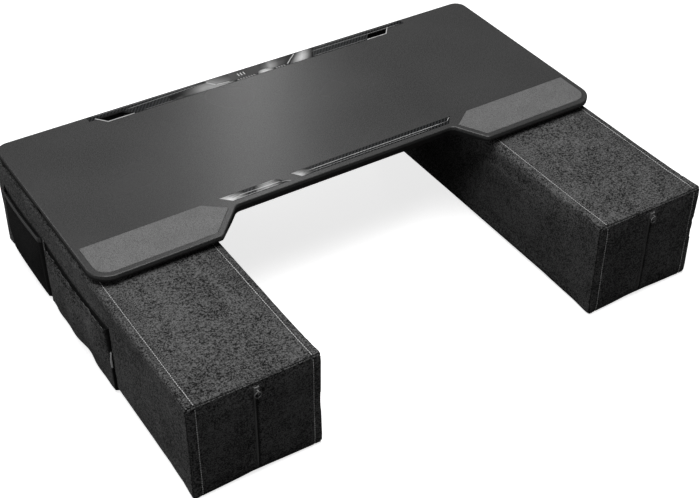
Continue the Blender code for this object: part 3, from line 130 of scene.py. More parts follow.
DESK_MIDDLE = Vector((0, 0, 0.12))
area_lamp("key_lamp", (-0.2, -0.1, 3.4), DESK_MIDDLE, 2.4, 2.4, 95)
area_lamp("side_lamp", (-2.6, -0.15, 0.45), DESK_MIDDLE, 1.2, 0.5, 7.2)
GLOW_MIDDLE = on_board(-72, 205)
GLOW_DISTANCE = 3.0
MIRRORED_LOOK = (GLOW_MIDDLE - CAMERA_PLACE).normalized() * Vector((1, 1, -1))
area_lamp("glow_lamp", GLOW_MIDDLE + MIRRORED_LOOK * GLOW_DISTANCE, GLOW_MIDDLE,
          0.25, 1.3, 3.2)
area_lamp("edge_lamp", (-1.6, 1.6, 1.2), DESK_MIDDLE, 0.7, 0.7, 3.4)
print("four lamps")

# %% [markdown]
# The desk stands on white paper. The camera sees the paper and the world white, while the light
# that bounces meets a dark paper and a dim world. So the background stays clean and the shadowed
# sides of the desk aren't lit from below.

# %% World and floor
AMBIENT = 0.05
PAPER_SEEN = 0.80
PAPER_BOUNCE = 0.08
PAPER_LIFT = 0.78
FLOOR_SIZE = 12.0
FLOOR_DROP = 0.3 * MM


def feed(node, inputs):
    """Set a node's inputs: a socket is linked, anything else is a value."""
    for key, value in inputs.items():
        if isinstance(value, bpy.types.NodeSocket):
            node.id_data.links.new(value, node.inputs[key])
        else:
            node.inputs[key].default_value = value


def node_of(tree, kind, inputs=None, **settings):
    """A new node with its settings and inputs."""
    made = tree.nodes.new(kind)
    for key, value in settings.items():
        setattr(made, key, value)
    feed(made, inputs or {})
    return made


world = bpy.data.worlds.new("studio")
bpy.context.scene.world = world
world.use_nodes = True
tree = world.node_tree
looking = node_of(tree, "ShaderNodeLightPath").outputs["Is Camera Ray"]
brightness = node_of(tree, "ShaderNodeMapRange",
                     {"Value": looking, "To Min": AMBIENT, "To Max": 1.0}).outputs["Result"]
feed(tree.nodes["Background"], {"Color": (1, 1, 1, 1), "Strength": brightness})

work = bmesh.new()
bmesh.ops.create_grid(work, x_segments=1, y_segments=1, size=FLOOR_SIZE / 2)
bmesh.ops.translate(work, verts=work.verts, vec=(0, 0, -FLOOR_DROP))
floor_mesh = bpy.data.meshes.new("floor")
work.to_mesh(floor_mesh)
work.free()
floor = bpy.data.objects.new("floor", floor_mesh)
bpy.context.scene.collection.objects.link(floor)
paper = bpy.data.materials.new("white_paper")
paper.use_nodes = True
tree = paper.node_tree
tree.nodes.remove(tree.nodes["Principled BSDF"])
seen = node_of(tree, "ShaderNodeLightPath").outputs["Is Camera Ray"]
shown = node_of(tree, "ShaderNodeMix", {
    "Factor": seen, "A": (PAPER_BOUNCE, PAPER_BOUNCE, PAPER_BOUNCE, 1),
    "B": (PAPER_SEEN, PAPER_SEEN, PAPER_SEEN, 1),
}, data_type="RGBA").outputs["Result"]
lift = node_of(tree, "ShaderNodeMath", {0: seen, 1: PAPER_LIFT}, operation="MULTIPLY").outputs[0]
matt = node_of(tree, "ShaderNodeBsdfDiffuse", {"Color": shown}).outputs[0]
glow = node_of(tree, "ShaderNodeEmission", {"Color": (1, 1, 1, 1), "Strength": lift}).outputs[0]
both = node_of(tree, "ShaderNodeAddShader", {0: matt, 1: glow}).outputs[0]
feed(tree.nodes["Material Output"], {"Surface": both})
floor_mesh.materials.append(paper)
print("a world and a floor", FLOOR_SIZE, "m wide")

# %% [markdown]
# ## Materials
# Every finish starts from a Principled shader. A handful of helpers add what the real surface
# has: a grain to bump it, blotches to vary its colour, and dust or polish to vary its roughness.
# All patterns read Object coordinates, which are metres here, so a scale of 1000 makes a 1 mm
# grain.

# %% Material basics
def grey(level, warmth=0.0):
    """The linear colour of a grey as it is seen on a screen, 0 to 255, a little warm or cool."""
    linear = (level / 255 / 12.92) if level < 11 else ((level / 255 + 0.055) / 1.055) ** 2.4
    return (linear * (1 + warmth), linear, linear * (1 - warmth))


def new_material(name, colour, roughness, metallic=0.0):
    """A material and its Principled shader."""
    material = bpy.data.materials.new(name)
    material.use_nodes = True
    shader = material.node_tree.nodes["Principled BSDF"]
    feed(shader, {"Base Color": (*colour, 1), "Roughness": roughness, "Metallic": metallic})
    return material, shader


def object_place(shader, stretch=(1, 1, 1), turned=(0, 0, 0)):
    """Object coordinates, stretched and turned for a directional pattern."""
    coordinates = node_of(shader.id_data, "ShaderNodeTexCoord").outputs["Object"]
    return node_of(shader.id_data, "ShaderNodeMapping", {
        "Vector": coordinates, "Scale": stretch, "Rotation": turned,
    }).outputs["Vector"]


print("grey 72 in linear light:", [round(value, 3) for value in grey(72)])

# %% [markdown]
# Three patterns are enough for every surface here: clouds for grain and wear, cells for pebbles,
# and stripes for weave and ribs. The others stretch, weigh, mix and bump with them. Each finds
# its node tree from the socket it gets.

# %% Patterns
WAVE_SPAN = 3.2


def cloud(place, scale, detail=3.0, roughness=0.55, distortion=0.0):
    """A noise pattern from 0 to 1."""
    return node_of(place.id_data, "ShaderNodeTexNoise", {
        "Vector": place, "Scale": scale, "Detail": detail, "Roughness": roughness,
        "Distortion": distortion,
    }).outputs["Fac"]


def cells(place, scale):
    """A cell pattern: the distance to the nearest edge between two cells."""
    return node_of(place.id_data, "ShaderNodeTexVoronoi", {"Vector": place, "Scale": scale},
                   feature="DISTANCE_TO_EDGE").outputs["Distance"]


def stripes(place, pitch, direction="X"):
    """Even stripes across one axis, so many metres apart."""
    return node_of(place.id_data, "ShaderNodeTexWave",
                   {"Vector": place, "Scale": 1 / (pitch * WAVE_SPAN)},
                   wave_profile="SIN", bands_direction=direction).outputs["Fac"]


def remap(value, from_low, from_high, to_low, to_high):
    """A value stretched from one range to another, held at its ends."""
    return node_of(value.id_data, "ShaderNodeMapRange", {
        "Value": value, "From Min": from_low, "From Max": from_high, "To Min": to_low,
        "To Max": to_high,
    }).outputs["Result"]


def calculate(operation, first, second):
    """One calculation on a socket and another socket or number."""
    return node_of(first.id_data, "ShaderNodeMath", {0: first, 1: second},
                   operation=operation).outputs[0]


def weighted(*pairs):
    """The sum of patterns, each times its weight."""
    total = None
    for pattern, weight in pairs:
        part = calculate("MULTIPLY", pattern, weight)
        total = part if total is None else calculate("ADD", total, part)
    return total


def blend_colours(factor, low, high):
    """From one colour to another by a factor."""
    first, second = [(*side, 1) if isinstance(side, tuple) else side for side in (low, high)]
    return node_of(factor.id_data, "ShaderNodeMix", {"Factor": factor, "A": first, "B": second},
                   data_type="RGBA").outputs["Result"]


def bump(shader, height, strength, distance, before=None):
    """Let a height pattern bump the surface, on top of an earlier bump if there is one."""
    inputs = {"Strength": strength, "Distance": distance, "Height": height}
    if before is not None:
        inputs["Normal"] = before
    bumped = node_of(shader.id_data, "ShaderNodeBump", inputs).outputs["Normal"]
    feed(shader, {"Normal": bumped})
    return bumped


# %% [markdown]
# The board is moulded from dark ABS with a spark-eroded texture: a very fine even grain that
# scatters the light, slightly uneven gloss from handling, and a faint sparkle where the grain
# catches it.

# %% Moulded plastic
def moulded_plastic(name, level, roughness, grain=0.10, sparkle=0.10):
    """Dark moulded plastic with a fine eroded grain."""
    material, shader = new_material(name, grey(level), roughness)
    place = object_place(shader)
    fine = cloud(place, 1500, 2.0)
    broad = cloud(place, 7, 1.0)
    speck = cloud(place, 850, 1.0)
    low, high = grey(level * (1 - sparkle)), grey(level * (1 + sparkle))
    mixed = remap(weighted((speck, 0.85), (broad, 0.15)), 0.35, 0.65, 0, 1)
    feed(shader, {
        "Base Color": blend_colours(mixed, low, high),
        "Roughness": remap(broad, 0.1, 0.9, roughness - 0.01, roughness + 0.01),
    })
    bump(shader, fine, grain, 0.12 * MM)
    return material


top_plastic = moulded_plastic("board_plastic", 72, 0.27, grain=0.08, sparkle=0.2)
tray_plastic = moulded_plastic("tray_plastic", 23, 0.50, grain=0.05)
print("plastics", top_plastic.name, tray_plastic.name)

# %% [markdown]
# The wrist pads look like leather. Its pebbles are Voronoi cells whose edges sink, slightly bent
# by a noise so that no two are alike, with a second finer set of pores on top.

# %% Pebbled pad
def pebbled_pad():
    """Grey pebbled synthetic leather."""
    material, shader = new_material("pebbled_pad", grey(100), 0.52)
    place = object_place(shader)
    bend = node_of(shader.id_data, "ShaderNodeTexNoise", {"Vector": place, "Scale": 260})
    bent = node_of(shader.id_data, "ShaderNodeMix", {
        "Factor": 0.0012, "A": place, "B": bend.outputs["Color"],
    }, data_type="VECTOR").outputs["Result"]
    raised = remap(cells(bent, 620), 0.0, 0.22, 0, 1)
    pores = cloud(place, 2400, 2.0)
    patch = cloud(place, 30, 3.0)
    shade = calculate("MULTIPLY", raised, remap(patch, 0.3, 0.7, 0.72, 1.0))
    feed(shader, {
        "Base Color": blend_colours(shade, grey(88), grey(143)),
        "Roughness": remap(pores, 0.3, 0.7, 0.44, 0.60),
    })
    bump(shader, weighted((raised, 1.0), (pores, 0.3)), 0.45, 0.25 * MM)
    return material


pad_leather = pebbled_pad()
print("pad finish", pad_leather.name)

# %% [markdown]
# The inlays along the back edge and behind the notch are glossy dark film with a printed hatch
# of fine slanted lines. Stripes on turned coordinates make the hatch. The silver pieces that lie
# on them fade out at their ends, so their mesh carries a value named shine that the material
# reads.

# %% Hatched film and silver
HATCH_PITCH = 4.4 * MM
LINE_PITCH = 3.1 * MM


def hatched_film():
    """Dark glossy film with a slanted hatch and faint lengthwise lines."""
    material, shader = new_material("hatched_film", grey(40), 0.30)
    slanted = object_place(shader, turned=(0, 0, math.radians(38)))
    straight = object_place(shader)
    hatch = remap(stripes(slanted, HATCH_PITCH), 0.42, 0.62, 0, 1)
    lines = remap(stripes(straight, LINE_PITCH, direction="Y"), 0.55, 0.9, 0, 1)
    pattern = weighted((hatch, 0.75), (lines, 0.25))
    feed(shader, {
        "Base Color": blend_colours(pattern, grey(10), grey(58, -0.05)),
        "Roughness": remap(cloud(straight, 800, 2.0), 0.3, 0.7, 0.24, 0.38),
        "Specular IOR Level": 0.2,
    })
    bump(shader, hatch, 0.10, 0.05 * MM)
    return material


def fading_silver():
    """Printed silver that fades into the dark film where the mesh's shine is low."""
    material, shader = new_material("fading_silver", grey(190), 0.30)
    shine = node_of(shader.id_data, "ShaderNodeAttribute", attribute_name="shine").outputs["Fac"]
    brushed = cloud(object_place(shader, stretch=(0.15, 1, 1)), 1800, 2.0)
    level = calculate("MULTIPLY", shine, remap(brushed, 0.3, 0.7, 0.86, 1.0))
    feed(shader, {
        "Base Color": blend_colours(level, grey(30), grey(236)),
        "Roughness": remap(brushed, 0.3, 0.7, 0.36, 0.50),
        "Metallic": calculate("MULTIPLY", shine, 0.12), "Specular IOR Level": 0.25,
    })
    return material


film = hatched_film()
silver = fading_silver()
print("film finishes", film.name, silver.name)

# %% [markdown]
# The cushions' suede cloth is the largest surface. Its nap lies in soft patches some centimetres
# wide that shine lighter or darker, with a fine mottle of single tufts. Sheen brightens it at a
# low angle. A value named seam on the mesh paints shade into the cloth: in its seams, in the dips
# beside the topstitches, in the zip slit, along the pockets' rims and hems, and behind the pockets.

# %% Suede
SUEDE_LOW = 20
SUEDE_HIGH = 114
# The level of the painted shade in seams, in the zip slit and behind the pockets.
PAINTED_SHADE_LEVEL = 9


def suede_cloth():
    """Charcoal micro-suede with brushed patches, tufts and painted shade in its seams and recesses.
    """
    middle = grey((SUEDE_LOW + SUEDE_HIGH) / 2)
    material, shader = new_material("suede_cloth", middle, 0.92)
    place = object_place(shader)
    brushed = object_place(shader, stretch=(1, 0.45, 1), turned=(0, 0, math.radians(20)))
    patch = cloud(place, 13, 4.0, 0.6, 0.4)
    streak = cloud(brushed, 95, 3.0, 0.6)
    clump = cloud(place, 270, 2.0, 0.6)
    tuft = cloud(place, 540, 2.0, 0.65)
    total = weighted((patch, 0.18), (streak, 0.08), (clump, 0.26), (tuft, 0.48))
    cloth = blend_colours(remap(total, 0.42, 0.59, 0, 1), grey(SUEDE_LOW), grey(SUEDE_HIGH))
    # The value named seam holds painted shade, which takes the cloth down to that level.
    seam = node_of(shader.id_data, "ShaderNodeAttribute", attribute_name="seam").outputs["Fac"]
    feed(shader, {
        "Base Color": blend_colours(seam, cloth, grey(PAINTED_SHADE_LEVEL)),
        "Sheen Weight": 0.055, "Sheen Roughness": 0.5, "Specular IOR Level": 0.12,
    })
    rough = bump(shader, streak, 0.25, 0.5 * MM)
    bump(shader, tuft, 0.85, 0.35 * MM, rough)
    return material


suede = suede_cloth()
print("suede", suede.name)

# %% [markdown]
# The small things each get a finish of their own: thread shows its twist, tapes and ribbons
# their weave, and metal its scratches and tarnish.

# %% Thread, woven bands and metal
TWIST_PITCH = MM / 2.88


def twisted_thread(name, level):
    """Polyester thread, with the twist of its strands."""
    material, shader = new_material(name, grey(level), 0.6)
    twist = stripes(object_place(shader, turned=(0.5, 0.4, 0.6)), TWIST_PITCH)
    feed(shader, {"Base Color": blend_colours(twist, grey(level * 0.7), grey(level))})
    bump(shader, twist, 0.3, 0.1 * MM)
    return material


def woven_band(name, low, high, pitch, strength=0.5, sheen=0.1):
    """A narrow woven band: warp and weft stripes that cross."""
    material, shader = new_material(name, grey(high), 0.85)
    place = object_place(shader)
    warp, weft = stripes(place, pitch, direction="Z"), stripes(place, pitch, direction="Y")
    crossed = calculate("MAXIMUM", warp, weft)
    fuzz = remap(cloud(place, 1400, 3.0), 0.3, 0.7, 0.6, 1.0)
    shade = calculate("MULTIPLY", crossed, fuzz)
    feed(shader, {"Base Color": blend_colours(shade, grey(low), grey(high)), "Sheen Weight": sheen})
    bump(shader, crossed, strength, 0.2 * MM)
    return material


def worn_metal(name, level, roughness, metallic=1.0, scratch=0.3):
    """Metal or painted metal with fine scratches and uneven polish."""
    material, shader = new_material(name, grey(level), roughness, metallic)
    scratches = cloud(object_place(shader, stretch=(1, 0.1, 1), turned=(0.3, 0.2, 0.5)), 2200, 2.0)
    tarnish = remap(cloud(object_place(shader), 160, 3.0), 0.3, 0.7, 0, 1)
    feed(shader, {
        "Base Color": blend_colours(tarnish, grey(level * 0.82), grey(level)),
        "Roughness": remap(scratches, 0.3, 0.7, roughness - 0.06, roughness + 0.1),
    })
    bump(shader, scratches, scratch, 0.04 * MM)
    return material


pale_thread = twisted_thread("pale_thread", 225)
dark_thread = twisted_thread("dark_thread", 8)
zip_cloth = woven_band("zip_cloth", 66, 112, 0.9 * MM)
elastic = woven_band("elastic_band", 46, 92, 1.6 * MM, 0.8)
tag_cloth = woven_band("tag_cloth", 238, 254, 0.5 * MM, 0.2)
net_yarn = woven_band("net_yarn", 3, 14, 0.6 * MM, sheen=0)
zip_metal = worn_metal("zip_metal", 150, 0.38, 0.25)
zip_nylon = worn_metal("zip_nylon", 14, 0.45, 0.0, 0.1)
bright_metal = worn_metal("bright_metal", 250, 0.36, 0.1, 0.1)
socket_metal = worn_metal("socket_metal", 90, 0.30)
screw_metal = worn_metal("screw_metal", 52, 0.42, 0.8)
print("two threads, four woven bands and five metals")

# %% [markdown]
# The last two are for what hides under the board: grip pads of ribbed rubber, and the hub's
# circuit board with its solder mask. Then each slot of the record gets its finish.

# %% Rubber, circuit and the record's slots
RIB_PITCH = 2.4 * MM


def ribbed_rubber():
    """Black grip rubber with fine ribs and dust in them."""
    material, shader = new_material("ribbed_rubber", grey(30), 0.8)
    place = object_place(shader)
    ribs = stripes(place, RIB_PITCH)
    dusty = calculate("MULTIPLY", ribs, cloud(place, 420, 3.0))
    feed(shader, {"Base Color": blend_colours(dusty, grey(22), grey(48))})
    bump(shader, ribs, 0.8, 0.4 * MM)
    return material


def circuit_film():
    """Green solder mask with fine copper tracks under it."""
    material, shader = new_material("circuit_film", (0.01, 0.09, 0.03), 0.35)
    tracks = node_of(shader.id_data, "ShaderNodeTexBrick", {
        "Vector": object_place(shader), "Scale": 170, "Mortar Size": 0.03,
        "Color1": (0.008, 0.085, 0.03, 1), "Color2": (0.012, 0.11, 0.04, 1),
        "Mortar": (0.05, 0.20, 0.06, 1),
    })
    feed(shader, {"Base Color": tracks.outputs["Color"]})
    bump(shader, tracks.outputs["Fac"], 0.2, 0.05 * MM)
    return material


rubber = ribbed_rubber()
circuit = circuit_film()
lead_skin = moulded_plastic("lead_skin", 28, 0.55)
FINISHES = {
    "dark_plastic": top_plastic, "tray_plastic": tray_plastic, "pad_grain": pad_leather,
    "trim_dark": film, "bright_trim": bright_metal, "circuit_green": circuit,
    "socket_steel": socket_metal, "cable_black": lead_skin, "screw_steel": screw_metal,
    "grip_rubber": rubber, "zip_metal": zip_metal, "suede": suede,
}
print(len(FINISHES), "finishes for the record's slots")

# %% [markdown]
# ## Hard pieces
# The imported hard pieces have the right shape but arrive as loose, flat triangles. A copy of each
# is merged, its flat faces are joined, and its edges get a small rounding, because it is the
# thin bright line along an edge that makes plastic look moulded. The copy then stands for the
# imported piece.

# %% Making pieces
SMOOTH_ANGLE = math.radians(32)
SHELL_ANGLE = math.radians(50)
FLAT_AREA = 0.0004
MERGE_REACH = 0.00002


def finished_piece(work, name, material, body, smooth=SMOOTH_ANGLE):
    """Turn a bmesh into a named piece that rides on a body, smooth but for its sharp edges."""
    for face in work.faces:
        face.smooth = face.calc_area() < FLAT_AREA
    for edge in work.edges:
        if len(edge.link_faces) == 2:
            edge.smooth = edge.calc_face_angle(0) < smooth
    mesh = bpy.data.meshes.new(name)
    work.to_mesh(mesh)
    work.free()
    mesh.materials.append(material)
    piece = bpy.data.objects.new(name, mesh)
    bpy.context.scene.collection.objects.link(piece)
    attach(piece, body)
    return piece


def thicken(piece, name, thickness):
    """Give a sheet its thickness, inwards from the side that is seen."""
    thick = piece.modifiers.new(name, "SOLIDIFY")
    thick.thickness = thickness
    thick.offset = -1


def round_edges(work, edges, radius, segments):
    """Bevel some edges of a bmesh round."""
    bmesh.ops.bevel(
        work, geom=edges, offset=radius, segments=segments, profile=0.5, affect="EDGES",
        clamp_overlap=True, material=-1,
    )


def face_towards(work, direction):
    """Turn all faces of a sheet to the side that is seen."""
    bmesh.ops.recalc_face_normals(work, faces=work.faces)
    if sum(face.normal.dot(Vector(direction)) for face in work.faces) < 0:
        bmesh.ops.reverse_faces(work, faces=work.faces)


def dressed_copy(node, edge_rounding):
    """A merged copy of a packed hard piece with rounded edges."""
    work = bmesh.new()
    work.from_mesh(frame["nodes"][node].data)
    bmesh.ops.remove_doubles(work, verts=work.verts, dist=MERGE_REACH)
    bmesh.ops.dissolve_limit(
        work, angle_limit=math.radians(1), verts=work.verts[:], edges=work.edges[:]
    )
    slot = SLOT_OF[node]
    piece = finished_piece(
        work, f"{node}_dressed", FINISHES[slot], BODY_OF[node], SHELL_ANGLE
    )
    if edge_rounding:
        rounding = piece.modifiers.new("edge_rounding", "BEVEL")
        rounding.width = edge_rounding
        rounding.segments = 2
        rounding.limit_method = "ANGLE"
        rounding.angle_limit = math.radians(55)
    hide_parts(node)
    return piece


print("an edge is smooth below", round(math.degrees(SMOOTH_ANGLE)), "degrees")

# %% [markdown]
# The pieces that are seen get dressed copies, with roundings as a mould would give them. The
# rest lies inside or underneath and only takes the finish of its slot.

# %% Dressing the hard pieces
ROUNDINGS = {
    "top_shell": 0.25 * MM, "bottom_shell": 0.2 * MM, "cable_bay_cover": 0.2 * MM,
    "left_cable_trough": 0.15 * MM, "right_cable_trough": 0.15 * MM,
    "left_wrist_pad": 0.4 * MM, "right_wrist_pad": 0.4 * MM,
    "rear_trim_strip": 0.08 * MM, "front_left_trim": 0.08 * MM, "front_right_trim": 0.08 * MM,
    "left_port_trim": 0.12 * MM, "right_port_trim": 0.12 * MM,
    "left_zip_slider": 0.2 * MM, "right_zip_slider": 0.2 * MM,
}
for node, rounding in ROUNDINGS.items():
    dressed_copy(node, rounding)
for node, obj in frame["nodes"].items():
    if node not in ROUNDINGS and SLOT_OF[node] in FINISHES:
        obj.data.materials.clear()
        obj.data.materials.append(FINISHES[SLOT_OF[node]])
print(len(ROUNDINGS), "pieces dressed")

# %% [markdown]
# ## Silver inlays
# The dark films carry silver patches that fade out, thin lines and a grey panel. Each is a
# paper-thin strip, laid out by stations from left to right: where its front and back edge are,
# and how much it shines there. A grid with one row of cells is moved to these stations. A line
# is such a strip too, with a dull end at each side.

# %% Inlay strips
FILM_TOP = (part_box("rear_trim_strip")[1].z - BOARD_TOP) / MM
INLAY_THICKNESS = 0.05 * MM
LINE_ENDS = 0.08
END_SHINE = 0.15


def inlay(name, stations, lift=0.06):
    """A thin strip on the film: stations are (front x, front y, back x, back y, shine)."""
    work = bmesh.new()
    bmesh.ops.create_grid(work, x_segments=len(stations) - 1, y_segments=1, size=1)
    shine = work.verts.layers.float.new("shine")
    span = 2 / (len(stations) - 1)
    for vert in work.verts:
        station = stations[round((vert.co.x + 1) / span)]
        x, y = station[0:2] if vert.co.y < 0 else station[2:4]
        vert[shine] = station[4]
        vert.co = on_board(x, y, FILM_TOP + lift)
    face_towards(work, (0, 0, 1))
    piece = finished_piece(work, name, silver, "board")
    thicken(piece, "film", INLAY_THICKNESS)
    return piece


def line(name, start, end, width, shine, lift=0.10):
    """A straight line of one width from (x, y) to (x, y), dull at both ends."""
    along = Vector((end[0] - start[0], end[1] - start[1]))
    across = Vector((-along.y, along.x)).normalized() * width / 2
    stations = []
    for share in (0.0, LINE_ENDS, 0.5, 1 - LINE_ENDS, 1.0):
        level = shine if 0 < share < 1 else END_SHINE * shine
        middle = Vector(start) + along * share
        front, back = middle - across, middle + across
        stations.append((front.x, front.y, back.x, back.y, level))
    return inlay(name, stations, lift)


print("the film's top lies", round(FILM_TOP, 2), "mm over the board's")

# %% [markdown]
# Along the back edge lie a satin panel, three silver patches, thin lines and two kinds of short
# bars. They are common decoration without a meaning, placed as they are on the real board.

# %% Along the back edge
inlay("rear_satin_panel", [
    (-74, 353.2, -74, 353.6, 0.20), (-71, 348.0, -70, 353.6, 0.36),
    (-62.5, 336.6, -61, 353.6, 0.34), (-49, 333.6, -49, 353.6, 0.22),
    (-34, 333.3, -34, 353.6, 0.10), (-10, 333.3, -8, 353.6, 0.05),
    (16, 333.2, 20, 353.6, 0.07), (26, 333.0, 32, 353.6, 0.22), (32, 332.8, 38, 353.6, 0.52),
    (38, 332.6, 45, 353.6, 0.38), (46, 332.4, 56, 353.6, 0.12), (56, 332.3, 72, 353.6, 0.05),
    (60.6, 332.2, 85, 353.6, 0.05),
], 0.04)
inlay("rear_silver_left", [
    (-140, 328.9, -140, 343.0, 0.0), (-118, 328.9, -120, 344.5, 0.02),
    (-102, 328.9, -104, 345.8, 0.15), (-86, 328.9, -86, 347.3, 0.46),
    (-72, 328.9, -72.5, 348.6, 0.55), (-62, 328.9, -63.5, 336.2, 0.56),
    (-50, 328.9, -49, 333.0, 0.48), (-40, 328.9, -38, 332.8, 0.30), (-30, 328.9, -28, 332.8, 0.0),
])
inlay("rear_silver_middle", [
    (6, 328.9, 8, 333.5, 0.0), (12, 328.9, 13, 336.5, 0.45), (18, 328.9, 18, 337.4, 0.95),
    (24, 328.9, 24, 337.0, 1.0), (30, 328.9, 31, 335.0, 0.7), (38, 328.9, 39, 333.0, 0.0),
], 0.08)
inlay("rear_silver_right", [
    (62, 328.9, 84, 353.6, 0.0), (68, 328.9, 89, 353.6, 0.15), (76, 328.9, 95, 353.6, 0.62),
    (84, 328.9, 101, 353.6, 1.0), (91, 328.9, 107, 353.6, 0.7), (98, 328.9, 113, 353.6, 0.25),
    (106, 328.9, 121, 353.6, 0.0),
])
line("rear_kink_line_upper", (-73.5, 349.4), (-62.3, 335.9), 1.8, 1.0)
line("rear_kink_line_lower", (-63.0, 336.2), (-40, 332.9), 1.5, 1.0)
line("rear_slanted_line", (60.7, 331.6), (85.7, 353.6), 1.6, 1.0)
line("rear_line_left", (-208, 344.7), (-74, 349.0), 1.0, 0.45)
line("rear_line_left_back", (-266, 352.2), (-78, 352.6), 0.9, 0.34)
line("rear_line_left_front", (-186, 330.4), (-132, 330.4), 0.8, 0.3)
line("rear_line_right", (110, 344.6), (284, 344.0), 1.0, 0.42)
line("rear_line_right_back", (118, 351.8), (286, 351.8), 0.8, 0.30)
line("rear_line_right_front", (108, 331.0), (214, 331.0), 0.9, 0.36)
TICK_COUNT = 3
TICK_PITCH = 5.0
BAR_PITCH = 4.6
for index in range(TICK_COUNT):
    x = -20.2 + index * TICK_PITCH
    line(f"rear_tick_{index + 1}", (x, 339.0), (x + 0.3, 347.6), 2.0, 1.0)
for first_x, count in ((-30, 8), (42, 4)):
    for index in range(count):
        x = first_x + index * BAR_PITCH
        line(f"rear_bar_{round(x) + 100}", (x, 329.1), (x - 1.5, 332.4), 2.4, 0.5, 0.05)
print("inlays along the back edge")

# %% [markdown]
# The two blades behind the notch carry lines along them and a silver tip each, which fades
# inwards. The left one has a second glow further along.

# %% On the two blades
line("left_blade_line_middle", (-172, 67.4), (-103, 65.2), 1.0, 0.9)
line("left_blade_line_front", (-176, 61.0), (-106, 61.0), 0.8, 0.7)
line("left_blade_tail", (-104, 64.4), (-90.6, 59.6), 1.5, 0.5)
inlay("left_blade_tip", [
    (-182, 60.2, -196, 74.2, 0.95), (-178, 60.2, -190, 74.2, 1.0), (-171, 60.2, -182, 74.2, 0.75),
    (-164, 60.2, -172, 74.2, 0.32), (-156, 60.2, -160, 74.2, 0.0),
], 0.03)
inlay("left_blade_glow", [
    (-148, 60.2, -142, 74.2, 0.0), (-138, 60.2, -133, 74.2, 0.45), (-128, 60.2, -123, 74.2, 0.78),
    (-120, 60.2, -115, 74.2, 0.62), (-108, 60.2, -108, 74.2, 0.18), (-100, 60.2, -103, 69.0, 0.0),
], 0.03)
for index, y in enumerate((62.8, 64.2, 68.8, 71.4)):
    line(f"left_blade_streak_{index + 1}", (-140, y), (-107, y - 0.5), 0.6, 0.0, 0.05)
TIP_STREAKS = ((-188, 71.2), (-185, 67.0), (-181, 63.2), (-78, 69.5), (-74, 65.4))
for index, (x, y) in enumerate(TIP_STREAKS):
    line(f"blade_tip_streak_{index + 1}", (x + 6, y), (x + 24, y), 0.7, 0.22, 0.05)
line("right_blade_line_back", (-66, 67.6), (180, 66.0), 1.0, 0.85)
line("right_blade_line_front", (-66, 62.6), (150, 62.0), 0.8, 0.42)
line("right_blade_tick", (179.5, 66.2), (188.5, 73.2), 1.0, 0.7)
inlay("right_blade_tip", [
    (-73, 60.2, -83, 74.0, 0.8), (-69, 60.2, -77, 74.0, 0.7), (-63, 60.2, -69, 74.0, 0.35),
    (-54, 60.2, -58, 74.0, 0.0),
], 0.03)
print("inlays on the blades")

# %% [markdown]
# ## Cushions
# A box cushion is a foam block in a sewn cover. The cloth is pressed out by the foam, so each
# panel swells between its seams while the seams hold it back. The cover starts as a box whose
# panels are dished inwards, is remeshed evenly and inflated as cloth. How far a point may move
# is capped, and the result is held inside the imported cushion, flat where it stands and where the
# board lies on it.

# %% Inflating a cushion
VOXEL = 6 * MM
EDGE_RADIUS = 6 * MM
DISH = 3.5 * MM
MOST_MOVE = 5 * MM
SIM_FRAMES = 20


def swelling(value):
    """1 in the middle of a span and 0 at its ends, rising fast from the ends."""
    return max(0.0, 1 - abs(value) ** 4)


def shares_of(place, middle, half):
    """Where a point lies in a box along each axis, from -1 to 1."""
    return [(place[axis] - middle[axis]) / half[axis] for axis in range(3)]


def panel_swelling(share, axis):
    """The swelling of the panel across one axis, along the two other axes."""
    return [swelling(share[other]) for other in range(3) if other != axis]


def dish_panels(verts, middle, half, depth):
    """Sink the middle of each of a box's six panels."""
    for vert in verts:
        share = shares_of(vert.co, middle, half)
        for axis in range(3):
            if abs(share[axis]) > 0.999:
                first, second = panel_swelling(share, axis)
                sign = 1 if share[axis] > 0 else -1
                vert.co[axis] -= sign * depth * first * second


def applied(obj):
    """A mesh copy of an object as its modifiers leave it."""
    graph = bpy.context.evaluated_depsgraph_get()
    return bpy.data.meshes.new_from_object(obj.evaluated_get(graph))


def cushion_start(name, low, high):
    """The dished box of one cushion, remeshed to even squares."""
    middle, half = (low + high) / 2, (high - low) / 2
    work = bmesh.new()
    bmesh.ops.create_cube(work, size=2)
    bmesh.ops.scale(work, vec=half, verts=work.verts)
    bmesh.ops.translate(work, vec=middle, verts=work.verts)
    bmesh.ops.subdivide_edges(work, edges=work.edges[:], cuts=15, use_grid_fill=True)
    dish_panels(work.verts, middle, half, DISH)
    outer = [edge for edge in work.edges if edge.calc_face_angle(0) > math.radians(60)]
    round_edges(work, outer, EDGE_RADIUS, 3)
    mesh = bpy.data.meshes.new(name)
    work.to_mesh(mesh)
    work.free()
    start = bpy.data.objects.new(name, mesh)
    bpy.context.scene.collection.objects.link(start)
    remesh = start.modifiers.new("even_squares", "REMESH")
    remesh.mode = "VOXEL"
    remesh.voxel_size = VOXEL
    start.data = applied(start)
    start.modifiers.clear()
    return start


def freedom(place, middle, half):
    """How free the cloth is: 0 along the sewn edges, which the seams hold, 1 inside a panel."""
    shares = sorted(abs(share) for share in shares_of(place, middle, half))
    return 1 - min(1, shares[1]) ** 5


